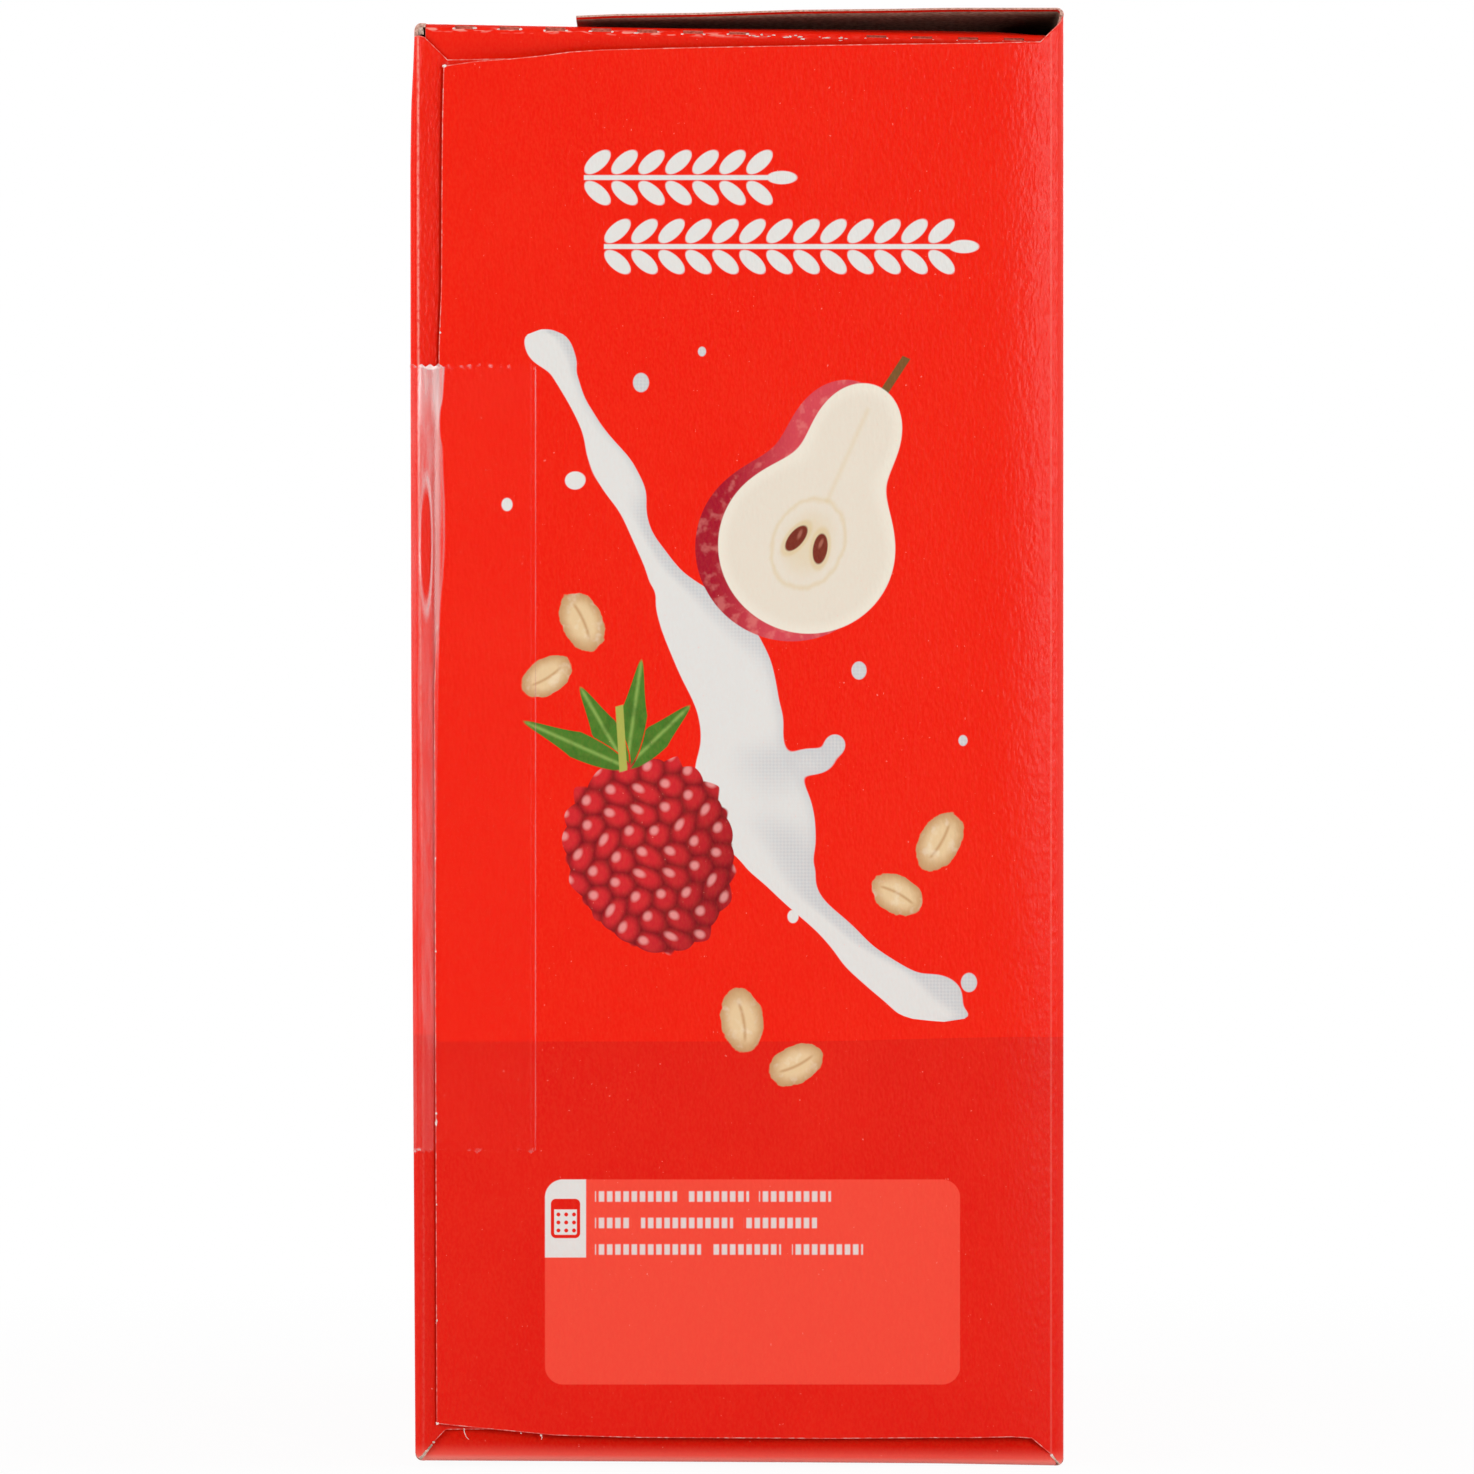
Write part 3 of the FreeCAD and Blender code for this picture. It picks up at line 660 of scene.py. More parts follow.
@dataclass(frozen=True)
class PrintedBoard:
    """The varnished print on the outside of the board."""

    name: str = "printed_board"
    gloss: float = 0.24
    specular: float = 0.08
    design: PrintDesign = PrintDesign()

    def wear(self, g: Graph, x: Socket, y: Socket, z: Socket,
             place: Socket) -> list[tuple[Socket, Colour]]:
        """Layers of wear and painted light: cracked ink along the folds, partly painted highlights there,
        the base fold paler as rubbed ink and painted floor light, a painted highlight on the front fold's
        turn, and light specks.
        """
        near_end = g.step(abs(y), 66.0, 66.3)
        flecks = g.noise(place, 2.2, 1.0, (0.35, 1.0, 1.6))
        mottle = g.noise(place, 4.2, 2.0, (1.0, 1.0, 0.6))

        # Cracked ink up the leaning back fold, partly a painted highlight along that crease; cracked ink
        # along the perforated fold; and a painted highlight line by the front fold.
        crease_x = g.step(z, 20.0, 130.0) * -0.55 - 31.35
        side_crease_and_sheen = g.cover(abs(x - crease_x) - 0.06, 0.16) * g.step(z, 40.0, 125.0, (0.12, 0.85))
        side_crease_and_sheen = side_crease_and_sheen * g.step(mottle, 0.36, 0.55, (0.4, 1.0)) * near_end
        fold = (x + 32.7) * -0.0199 + 143.85
        top_line = g.cover(abs(z - fold) - 0.16, 0.2) * g.step(flecks, 0.5, 0.62) * near_end
        top_line = top_line * g.step(x, 8.0, -6.0, (0.06, 0.75))
        # The line by the front fold: a painted highlight along the front crease.
        pressed = g.cover(abs(x - 31.42) - 0.05, 0.12) * g.step(y, -66.5, -66.8, (0.0, 0.2))
        worn = g.math("MINIMUM", side_crease_and_sheen + top_line + pressed, 1.0)

        # Paler low down and at the front fold's turn: the base's fold, most at its foot, partly rubbed ink
        # and partly painted floor light; the turn of the front fold, a painted highlight.
        base_height = z + (x - 31.5) * 0.0078
        on_flap = g.step(abs(y), 65.0, 65.6)
        rubbed_and_floor_lit = g.step(base_height, 1.9, 0.3) * on_flap
        foot_rubbed_and_floor_lit = g.step(base_height, 0.8, 0.2) * on_flap
        # A painted highlight on the turn of the front fold, stronger higher up.
        turned = g.step(x, 31.85, 32.3) * near_end * g.step(z, 42.0, 62.0, (0.03, 0.085))
        specks = g.step(mottle, 0.7, 0.76) * g.step(flecks, 0.6, 0.66)
        return [
            (worn, tone(250, 176, 160)),
            (rubbed_and_floor_lit * 0.45, tone(255, 130, 114)),
            (foot_rubbed_and_floor_lit * 0.38, tone(255, 190, 178)),
            (g.math("MAXIMUM", turned, specks * 0.4), tone(255, 172, 164)),
            (g.step(mottle, 0.32, 0.7) * 0.03, tone(255, 150, 90)),
        ]

    def make(self) -> bpy.types.Material:
        """Builds the material."""
        material, g = new_material(self.name)
        x, y, z, place = g.millimetres()
        layers = self.wear(g, x, y, z, place)
        streaks = g.noise(place, 2.8, 1.0, (1.0, 1.0, 0.42))
        peel = g.noise(place, 0.8, 1.0)
        rough = g.step(peel, 0.2, 0.8, (self.gloss - 0.02, self.gloss + 0.03))
        relief = g.bump(streaks * 0.6 + peel * 0.4, 0.058)
        ink = self.design.paint(g, x, y, z, place)
        skins = []
        for colour in (ink.ground, ink.poured, ink.pictured, ink.written):
            skins.append(g.shader({
                "Base Color": g.layers(colour, *layers),
                "Roughness": rough,
                "Specular IOR Level": self.specular,
                "Normal": relief,
            }))
        picture = g.either(ink.fruits, skins[1], skins[2])
        g.end(g.either(ink.margin, g.either(ink.words, picture, skins[3]), skins[0]))
        return material


@dataclass(frozen=True)
class FibreBoard:
    """Bare board: the grey inside, or the paler fibres of a cut edge."""

    name: str
    pale: Colour
    dark: Colour
    grain: float

    def make(self) -> bpy.types.Material:
        """Builds the material."""
        material, g = new_material(self.name)
        place = g.millimetres()[3]
        fibres = g.noise(place, self.grain, 4.0, (1.0, 1.0, 1.6))
        spots = g.noise(place, self.grain * 3.1, 2.0)
        g.finish({
            "Base Color": g.layers(
                self.dark,
                (g.step(fibres, 0.32, 0.66), self.pale),
                (g.step(spots, 0.62, 0.74) * 0.4, self.dark),
            ),
            "Roughness": g.step(fibres, 0.2, 0.8, (0.78, 0.95)),
            "Specular IOR Level": 0.2,
            "Normal": g.bump(fibres, 0.05),
        })
        return material


@dataclass(frozen=True)
class WornEdge:
    """The cut edge of the print: red ink pressed over the edge, broken by pale fibres."""

    name: str = "worn_cut_edge"
    band_top: float = 42.7

    def make(self) -> bpy.types.Material:
        """Builds the material."""
        material, g = new_material(self.name)
        _, _, z, place = g.millimetres()
        breaks = g.noise(place, 1.7, 4.0)
        ink = g.mix(g.cover(z - self.band_top), tone(247, 84, 70), tone(232, 70, 60))
        colour = g.mix(g.step(breaks, 0.4, 0.72) * 0.7, ink, tone(247, 196, 186))
        g.finish({
            "Base Color": colour,
            "Roughness": g.step(breaks, 0.3, 0.7, (0.5, 0.8)),
            "Specular IOR Level": 0.2,
            "Normal": g.bump(breaks, 0.03),
        })
        return material


@dataclass(frozen=True)
class ClearFilm:
    """Clear tape: all but unseen where it is stuck flat, with a painted silvery pink reflection where it
    bridges the gap.
    """

    name: str = "clear_film"
    edge: float = -20.05
    crest: float = -32.0
    foot: float = 31.3
    head: float = 110.3
    shore: Knots = (
        (31.3, -30.4), (60.0, -30.1), (76.0, -29.95), (84.5, -29.8), (89.3, -29.48), (93.9, -29.3),
        (99.3, -29.46), (102.0, -29.55), (104.3, -29.8), (106.5, -29.55), (110.3, -29.3),
    )

    def spot(self, g: Graph, across: Socket, up: Socket) -> Socket:
        """Where the film is crumpled at its head, with a painted white highlight, from the middle of that
        place.
        """
        ring = g.vector("LENGTH", g.point(across * (1 / 0.75), up * (1 / 0.3)))
        return g.cover(ring - 0.8, 0.3) * 0.6

    def make(self) -> bpy.types.Material:
        """Builds the material."""
        material, g = new_material(self.name)
        x, y, z, place = g.millimetres()
        silk = g.noise(place, 1.0, 3.0, (2.2, 2.2, 0.22))
        cloud = g.noise(place, 0.16, 2.0, (1.0, 1.0, 0.6))

        # Silver, a painted reflection of the air gap: where the film is off the board, from the back fold
        # to the shore line, most near its head.
        shore = g.follow(z, self.shore)
        on_bridge = g.cover(self.crest + 0.1 - x, 0.14) * g.cover(x - shore, 0.1)
        high = g.step(z, 40.5, 45.0)
        silver_reflection = g.step(z, 88.0, 110.0, (0.05, 0.17)) * g.step(silk, 0.25, 0.8, (0.5, 1.6))
        silver_reflection = g.blend(high, silk * 0.04 + 0.005, silver_reflection) + g.step(z, 104.5, 109.0) * 0.13

        # A long clear blister in it, with a silvery wall, also a painted reflection.
        lens_a, lens_b = (x + 31.1) / 0.62, (z - 92.2) / 6.6
        lens = g.math("SQRT", lens_a * lens_a + lens_b * lens_b) - 1.0
        wall = g.cover(abs(lens) - 0.1, 0.14) * g.step(x, -31.6, -30.7, (0.1, 0.3))
        silver_reflection = silver_reflection * g.step(lens, -0.32, 0.05, (0.06, 1.0)) + wall
        # A painted glint along the shore line.
        shore_glints = g.cover(abs(x - shore) - 0.05, 0.12) * g.step(z, 74.0, 94.0, (0.02, 0.3))
        head_highlight = self.spot(g, x + 30.6, z - 109.95)
        # A painted whitish glint band where the film is taut beside the shore.
        taut_glint = g.cover(abs(x + 29.95) - 0.25, 0.2) * g.between(z, 82.0, 107.0, 3.0)
        alpha = on_bridge * (silver_reflection + taut_glint * 0.4) + shore_glints + head_highlight
        whitish = g.mix(g.step(cloud, 0.35, 0.7), tone(255, 228, 225), tone(255, 244, 242))

        # What shows of the stuck part: its long edge, drawn as painted glint lines, its frayed cuts and a
        # faint haze round the back fold.
        edge_glints = g.cover(abs(x - (self.edge - 0.1)) - 0.05, 0.05) * g.step(silk, 0.3, 0.6, (0.04, 0.18))
        inner = g.cover(abs(x - (self.edge - 0.55)) - 0.03, 0.06) * 0.03
        ends = g.math("MINIMUM", abs(z - self.foot - 0.15), abs(z - self.head + 0.15))
        frayed = g.cover(ends - 0.3, 0.2) * g.step(g.noise(place, 1.3, 2.0), 0.52, 0.7)
        frayed = frayed * g.step(x, -29.5, -29.0, (0.5, 0.13))
        around = g.step(x, self.crest + 0.05, self.crest - 0.1) * g.step(cloud, 0.3, 0.7, (0.01, 0.05))
        alpha = g.math("MINIMUM", alpha + edge_glints + inner + frayed + around + 0.002, 0.92)
        by_shore = g.step(x, -30.7, -30.1) * g.step(z, 107.0, 103.0)
        g.finish({
            "Base Color": g.mix(by_shore, whitish, tone(255, 176, 170)),
            "Roughness": g.step(silk, 0.3, 0.7, (0.12, 0.24)),
            "Specular IOR Level": 0.8,
            "Alpha": alpha,
            "Normal": g.bump(silk, 0.02),
        })
        return material


# -------------------------------------------------------------------------------------------------- meshes

FLAT = 0.97  # a face of the flat sheet that points this much up or down is its printed or bare side
STEEP = 0.2  # and one that points less than this up is its cut edge
SHARP = 0.7  # radians between faces at which an edge stays hard


class BoardSheet:
    """A flat sheet that is creased, trimmed, thickened and folded. The print is on its upper side."""

    def __init__(self, low: tuple[float, float], high: tuple[float, float],
                 cell: tuple[float, float]) -> None:
        """Starts from a grid over a rectangle, with cells of about the given size."""
        self.bm = bmesh.new()
        counts = [max(1, round((end - start) / step)) for start, end, step in zip(low, high, cell)]
        bmesh.ops.create_grid(self.bm, x_segments=counts[0], y_segments=counts[1], size=0.5)
        size = Matrix.Diagonal((high[0] - low[0], high[1] - low[1], 1.0, 1.0))
        middle = Matrix.Translation(((low[0] + high[0]) / 2, (low[1] + high[1]) / 2, 0.0))
        bmesh.ops.transform(self.bm, matrix=middle @ size, verts=self.bm.verts[:])

    def crease(self, axis: int, places: Iterable[float]) -> None:
        """Adds lines across the sheet where it will bend or be trimmed.

        Args:
            axis: 0 for lines at places along the first axis, 1 for the second.
            places: where the lines are.
        """
        normal = Vector((1.0, 0.0, 0.0)) if axis == 0 else Vector((0.0, 1.0, 0.0))
        for place in places:
            everything = self.bm.verts[:] + self.bm.edges[:] + self.bm.faces[:]
            bmesh.ops.bisect_plane(self.bm, geom=everything, dist=1e-4,
                                   plane_co=normal * place, plane_no=normal)

    def shape(self, place: Callable[[Vector], Vector]) -> None:
        """Moves every vertex to where a function puts it."""
        for vert in self.bm.verts:
            vert.co = place(vert.co)

    def thicken(self, thickness: float) -> None:
        """Gives the flat sheet its thickness, below the printed side."""
        made = bmesh.ops.extrude_face_region(self.bm, geom=self.bm.faces[:], use_keep_orig=True)
        lower = [item for item in made["geom"] if isinstance(item, bmesh.types.BMVert)]
        bmesh.ops.translate(self.bm, verts=lower, vec=(0.0, 0.0, -thickness))
        bmesh.ops.recalc_face_normals(self.bm, faces=self.bm.faces[:])
        self.bm.normal_update()

    def wear_edges(self, width: float, where: Callable[[Vector], bool]) -> None:
        """Rounds the printed side's cut edges over, where a test on their middle says so."""
        edges = []
        for edge in self.bm.edges:
            ups = sorted(abs(face.normal.z) for face in edge.link_faces)
            middle = (edge.verts[0].co + edge.verts[1].co) / 2
            cut = len(ups) == 2 and ups[0] < STEEP and ups[1] > FLAT
            if cut and abs(middle.z) < 1e-5 and where(middle):
                edges.append(edge)
        bmesh.ops.bevel(self.bm, geom=edges, offset=width, offset_type="OFFSET", segments=2, profile=0.5,
                        affect="EDGES", material=-1, clamp_overlap=True)
        self.bm.normal_update()

    def name_faces(self) -> None:
        """Gives each face of the flat sheet its finish by the way it points."""
        for face in self.bm.faces:
            up = face.normal.z
            if up > FLAT:
                face.material_index = Finish.PRINT.value
            elif up < -FLAT:
                face.material_index = Finish.INSIDE.value
            else:
                face.material_index = (Finish.CORE if abs(up) < STEEP else Finish.WORN).value

    def slots(self, spans: Iterable[tuple[float, float]], low: float, high: float, depth: float) -> None:
        """Presses a row of cuts into the printed side.

        Args:
            spans: start and end of each cut along the first axis, on creased lines.
            low: the cuts' lower edge along the second axis, on a creased line.
            high: their upper edge.
            depth: how deep they go.
        """
        for start, end in spans:
            inside = [face for face in self.bm.faces
                      if face.normal.z > FLAT and start < face.calc_center_median().x < end
                      and low < face.calc_center_median().y < high]
            made = bmesh.ops.extrude_face_region(self.bm, geom=inside)
            lower = [item for item in made["geom"] if isinstance(item, bmesh.types.BMVert)]
            bmesh.ops.delete(self.bm, geom=inside, context="FACES")
            bmesh.ops.translate(self.bm, verts=lower, vec=(0.0, 0.0, -depth))
            for item in made["geom"]:
                if isinstance(item, bmesh.types.BMFace):
                    item.material_index = Finish.SLOT.value
            for vert in lower:
                for face in vert.link_faces:
                    if abs(face.normal.z) < 0.5 or face.normal.length < 0.5:
                        face.material_index = Finish.SLOT.value

    def to_object(self, name: str, finishes: Sequence[bpy.types.Material]) -> bpy.types.Object:
        """Ends the sheet as an object in metres, with smooth faces and outward normals."""
        return to_object(self.bm, name, finishes)


def to_object(bm: bmesh.types.BMesh, name: str, finishes: Sequence[bpy.types.Material]) -> bpy.types.Object:
    """Turns a mesh in millimetres into an object in metres.

    Args:
        bm: the mesh, freed here.
        name: the piece's name.
        finishes: its materials, in slot order.

    Returns:
        The object, linked to the scene, with its place in its mesh.
    """
    bmesh.ops.transform(bm, matrix=Matrix.Scale(MM, 4), verts=bm.verts[:])
    bmesh.ops.recalc_face_normals(bm, faces=bm.faces[:])
    for face in bm.faces:
        face.smooth = True
    for edge in bm.edges:
        edge.smooth = len(edge.link_faces) == 2 and edge.calc_face_angle(0.0) < SHARP
    mesh = bpy.data.meshes.new(name)
    bm.to_mesh(mesh)
    bm.free()
    for finish in finishes:
        mesh.materials.append(finish)
    return add_object(name, mesh)


def add_object(name: str, data: bpy.types.ID) -> bpy.types.Object:
    """Puts a mesh, lamp or camera into the scene as an object."""
    made = bpy.data.objects.new(name, data)
    bpy.context.scene.collection.objects.link(made)
    return made


def bend(along: float, rise: float, radius: float, angle: float) -> tuple[float, float]:
    """Bends a flat sheet down round a fold that starts at 0.

    Args:
        along: distance along the printed side, past the start of the fold.
        rise: height over the printed side, below 0 inside the board.
        radius: the fold's outside radius.
        angle: the fold's angle in radians.

    Returns:
        Distance along the first panel, and height over it.
    """
    if along <= 0:
        return along, rise
    turned = min(along / radius, angle)
    over = along - radius * turned
    reach = (radius + rise) * math.sin(turned) + over * math.cos(turned)
    height = (radius + rise) * math.cos(turned) - radius - over * math.sin(turned)
    return reach, height


@dataclass
class Carton:
    """The carton's outside sizes in millimetres, read off its CAD node, and how the full pack settled."""

    back: float
    front: float
    end: float
    front_height: float
    front_rise: float = 1.5
    inner_drop: float = 1.17
    board: float = 0.4
    fold: float = 0.7
    seam: float = 64.8
    lean: Knots = (
        (0, 0.5), (36, 0.3), (76, 0.1), (106, 0.02), (130, 0.0), (136, 0.08), (140, 0.28), (144.4, 0.45),
    )
    lean_width: float = 6.5
    lift: Knots = ((-32.7, 0.5), (-16, 0.42), (6, 0.3), (20, 0.2), (31.5, 0.0))
    lift_height: float = 14.0
    lift_from: tuple[float, float] = (40.0, 66.0)
    far_lift: float = 0.4
    bulge: Knots = ((-30, 0.0), (-20, 0.05), (0, 0.34), (20, 0.5), (27, 0.46), (31.5, 0.1))

    @classmethod
    def from_frame(cls, node: str) -> "Carton":
        """Reads the sizes off a CAD node's box."""
        low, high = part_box(node)
        return cls(low.x / MM, high.x / MM, high.y / MM, high.z / MM)

    @property
    def back_height(self) -> float:
        """Height of the crease at the top of the back panel."""
        return self.front_height - self.front_rise

    def inner_top(self, x: float) -> float:
        """Height of the inner top panel's plane."""
        return self.back_height - self.inner_drop * (x - self.back) / (self.front - self.back)

    def swell(self, x: float, out: float) -> float:
        """How far the inner top panel rises behind its perforated fold."""
        return curve(self.bulge, x) * (1 - ease(out, 62.5, 66.4))

    def settled(self, x: float, out: float, z: float, side: int) -> Vector:
        """Where a point of the square pack comes to lie.

        Args:
            x: from the back panel to the front panel.
            out: distance from the middle along the pack.
            z: height.
            side: -1 at the near end, 1 at the far end.

        Returns:
            The point in the frame.
        """
        towards_back = 1 - ease(x, self.back, self.back + self.lean_width)
        x += curve(self.lean, z) * towards_back
        near_base = 1 - ease(z, 0.0, self.lift_height)
        share = 1.0 if side < 0 else self.far_lift
        z += curve(self.lift, x) * near_base * ease(abs(out), *self.lift_from) * share
        return Vector((x, side * out, z))


# -------------------------------------------------------------------------------------------- board pieces

@dataclass
class CartonTube:
    """The blank's middle: overlap panel, front, base, back and inner top panel, wound round four folds."""

    carton: Carton
    cell: float = 2.0
    lap_cover: float = 48.8
    lap_end: float = 67.2
    corner_end: float = 66.95
    base_corner_end: float = 66.3
    ramp: float = 0.25
    wear: float = 0.12
    glue: float = 0.03
    glued_to: float = 44.0
    lap_climbs: tuple[float, float] = (20.0, 31.0)
    rim_pressed: float = 0.22
    rim_steps: tuple[float, ...] = (0.3, 1.2, 3.0)
    rim_printed: float = 1.2
    lap_rim: Knots = ((-16.1, -0.8), (-12, -0.62), (-3.6, -0.5), (6, -0.2), (16, -0.1), (21, 0.0))

    def legs(self) -> list[tuple[str, float]]:
        """The runs and turns along the wound section, from the overlap panel's free edge."""
        c = self.carton
        round_off = c.fold
        return [
            ("run", self.lap_cover - round_off), ("turn", round_off * math.pi / 2),
            ("run", c.front_height - 2 * round_off), ("turn", round_off * math.pi / 2),
            ("run", c.front - c.back - 2 * round_off), ("turn", round_off * math.pi / 2),
            ("run", c.back_height - 2 * round_off), ("turn", round_off * math.pi / 2),
            ("run", c.front - c.back - round_off - 0.8),
        ]

    def marks(self) -> list[float]:
        """Distance along the section at the end of each leg."""
        return list(np.cumsum([length for _, length in self.legs()]))

    def wind(self, along: float, rise: float) -> tuple[float, float]:
        """Winds a point of the flat blank round the folds.

        Args:
            along: distance from the overlap panel's free edge.
            rise: height over the printed side.

        Returns:
            x and z.
        """
        c = self.carton
        x, z, heading = c.front - self.lap_cover, c.front_height, 0.0
        for kind, length in self.legs():
            part = min(max(along, 0.0), length) if kind == "turn" else min(along, length)
            if kind == "run":
                x, z = x + part * math.cos(heading), z + part * math.sin(heading)
            else:
                centre_x, centre_z = x + c.fold * math.sin(heading), z - c.fold * math.cos(heading)
                heading -= part / c.fold
                x, z = centre_x - c.fold * math.sin(heading), centre_z + c.fold * math.cos(heading)
            along -= length
            if along <= 0:
                break
        return x - rise * math.sin(heading), z + rise * math.cos(heading)

    def corners(self) -> list[tuple[float, float, float]]:
        """Where the board runs on over a fold's end: its start and end round the section, and its reach."""
        marks = self.marks()
        return [
            (marks[2] - 0.1, marks[3] + 0.35, self.base_corner_end),
            (marks[4] - 0.3, marks[5] + 0.1, self.base_corner_end),
            (marks[6] - 0.85, marks[7] + 0.4, self.corner_end),
        ]

    def end_of(self, along: float) -> float:
        """How far along the pack the tube reaches, at a distance round the section."""
        low = self.carton.seam
        lap = self.marks()[1] + 0.02
        knots = [(0.0, self.lap_end), (lap, self.lap_end), (lap + self.ramp, low)]
        for start, end, reach in self.corners():
            knots += [(start - self.ramp, low), (start, reach), (end, reach), (end + self.ramp, low)]
        return curve(knots, along)

    def place(self, flat: Vector) -> Vector:
        """Puts a point of the flat blank (along the pack, round the section, rise) in its place."""
        c = self.carton
        marks = self.marks()
        x, z = self.wind(flat.y, flat.z)
        out, side = abs(flat.x), -1 if flat.x < 0 else 1
        if flat.y < marks[1] + 1e-6:
            under = c.inner_top(x) + c.swell(x, out) + c.board + self.glue - c.front_height
            rim = curve(self.lap_rim, x)
            glued = 1 - ease(out, self.glued_to, self.lap_end)
            share = glued * (1 - ease(x, *self.lap_climbs))
            z += rim * (1 - share) * (1 - ease(x, self.lap_climbs[1], c.front)) + under * share
            z -= flat.z * self.rim_pressed / c.board * ease(out, 65.0, 67.0)
        elif flat.y > marks[7] - 1e-6:
            z += c.inner_top(x) - c.back_height + c.swell(x, out)
        return c.settled(x, out, z, side)

    def build(self, finishes: Sequence[bpy.types.Material]) -> bpy.types.Object:
        """Makes the piece."""
        marks = self.marks()
        half = self.lap_end
        sheet = BoardSheet((-half, 0.0), (half, marks[-1]), (self.cell, self.cell))
        turns = []
        for start, end in zip(marks[0:8:2], marks[1:8:2]):
            turns += [start + (end - start) * step / 6 for step in range(7)]
        trims = [marks[1] + 0.02, marks[1] + 0.02 + self.ramp]
        for start, end, _ in self.corners():
            trims += [start - self.ramp, start, end, end + self.ramp]
        sheet.crease(1, [0.35, *turns, *trims])
        sheet.crease(0, [sign * (half - step) for sign in (-1, 1) for step in self.rim_steps])
        sheet.shape(lambda co: Vector((co.x * self.end_of(co.y) / half, co.y, co.z)))
        sheet.thicken(self.carton.board)
        sheet.wear_edges(self.wear, lambda middle: abs(middle.x) > self.carton.seam + 0.4
                         or middle.y < 1e-4 or middle.y > marks[-1] - 1e-4)
        sheet.name_faces()
        for face in sheet.bm.faces:
            middle = face.calc_center_median()
            worn = face.material_index == Finish.WORN.value
            rim = abs(middle.x) > self.lap_end - self.rim_printed
            pressed = face.material_index == Finish.INSIDE.value and rim
            if middle.y < marks[1] and (worn or pressed):
                face.material_index = Finish.PRINT.value
        sheet.shape(self.place)
        return sheet.to_object("carton_tube", finishes)


@dataclass
class EndFlap:
    """A flap folded in at one end of the tube, drawn flat as (along past the fold, across, rise)."""

    carton: Carton
    side: int
    name: str
    reach: float
    radius: float
    angle: float
    crest: float
    low_edge: Knots
    high_edge: Knots
    cell: float = 1.6
    wear: float = 0.11
    ripple: float = 0.04

    @property
    def start(self) -> float:
        """Distance along the pack at which the fold starts."""
        turn = math.radians(min(self.angle, 90.0))
        return self.crest - self.radius * math.sin(turn)

    @property
    def first(self) -> float:
        """The sheet's first place along, on the seam with the tube."""
        return self.carton.seam - self.start

    def free_edge(self, across: float) -> float:
        """Where the flap ends, at a place across it."""
        return self.reach

    def outline(self, flat: Vector) -> Vector:
        """Fits the starting rectangle, across from 0 to 1, to the flap's outline."""
        low, high = curve(self.low_edge, flat.x), curve(self.high_edge, flat.x)
        across = low + (high - low) * flat.y
        share = (flat.x - self.first) / (self.reach - self.first)
        along = flat.x + (self.free_edge(across) - self.reach) * share ** 3
        return Vector((along, across, flat.z))

    def bent(self, along: float, rise: float) -> tuple[float, float]:
        """The fold: distance out along the pack, and height over the panel that the flap hangs on."""
        reach, height = bend(along, rise, self.radius, math.radians(self.angle))
        return self.start + reach, height

    def lie(self, flat: Vector) -> tuple[float, float, float]:
        """The folded place as x, out and z. Each kind of flap has its own."""
        raise NotImplementedError

    def place(self, flat: Vector) -> Vector:
        """The folded and settled place, with the board's slight ripple."""
        x, out, z = self.lie(flat)
        past = ease(flat.x, self.radius * 1.6, self.radius * 1.6 + 6.0)
        ripple = noise.noise(Vector((x * 0.045, z * 0.035, 3.7 * self.side + self.radius)))
        return self.carton.settled(x, out - self.ripple * past * (1 + ripple), z, self.side)

    def fold_lines(self) -> list[float]:
        """Lines along the flap where it bends."""
        end = self.radius * math.radians(self.angle)
        return [end * step / 8 for step in range(9)]

    def trim(self, sheet: BoardSheet) -> None:
        """Cuts what a kind of flap has cut in it."""

    def press(self, sheet: BoardSheet) -> None:
        """Presses in what a kind of flap has pressed in it, after it is thick."""

    def build(self, finishes: Sequence[bpy.types.Material]) -> bpy.types.Object:
        """Makes the piece."""
        span = self.high_edge[0][1] - self.low_edge[0][1]
        sheet = BoardSheet((self.first, 0.0), (self.reach, 1.0), (self.cell, self.cell / span))
        knees = [at for at, _ in (*self.low_edge, *self.high_edge) if self.first < at < self.reach]
        sheet.crease(0, sorted({*knees, *self.fold_lines(), self.reach - 0.35}))
        sheet.crease(1, (0.35 / span, 1 - 0.35 / span))
        sheet.shape(self.outline)
        self.trim(sheet)
        sheet.thicken(self.carton.board)
        sheet.wear_edges(self.wear, lambda middle: middle.x > self.first + 1e-4)
        sheet.name_faces()
        self.press(sheet)
        sheet.shape(self.place)
        return sheet.to_object(self.name, finishes)


@dataclass
class OuterFlap(EndFlap):
    """The outer flap, off the front panel. It bows out a little and falls back towards its fold."""

    bow: float = 0.5
    bow_from: float = 25.5
    edge_places: Knots = (
        (3.9, -30.4), (78.0, -30.36), (88.0, -29.95), (112.0, -29.85), (118.0, -29.6), (140.0, -29.5),
    )

    def flat_x(self, along: float) -> float:
        """x of a place on the flat part."""
        turn = math.radians(self.angle)
        return self.carton.front - self.radius * (1 - math.cos(turn)) - (along - self.radius * turn)

    def free_edge(self, across: float) -> float:
        """The free edge leans: nearer the back panel low down."""
        return self.reach + self.flat_x(self.reach) - curve(self.edge_places, across)

    def lie(self, flat: Vector) -> tuple[float, float, float]:
        """x, out and z on the front side."""
        turn = math.radians(self.angle)
        over = flat.x - self.radius * turn
        if over <= 0:
            out, height = self.bent(flat.x, flat.z)
            return self.carton.front + height, out, flat.y
        end_out, end_height = self.bent(self.radius * turn, 0.0)
        x = self.carton.front + end_height - over
        part = (x - self.bow_from) / (self.carton.front - self.radius - self.bow_from)
        return x, end_out + self.bow * (1 - min(max(part, 0.0), 1.0) ** 2) + flat.z, flat.y


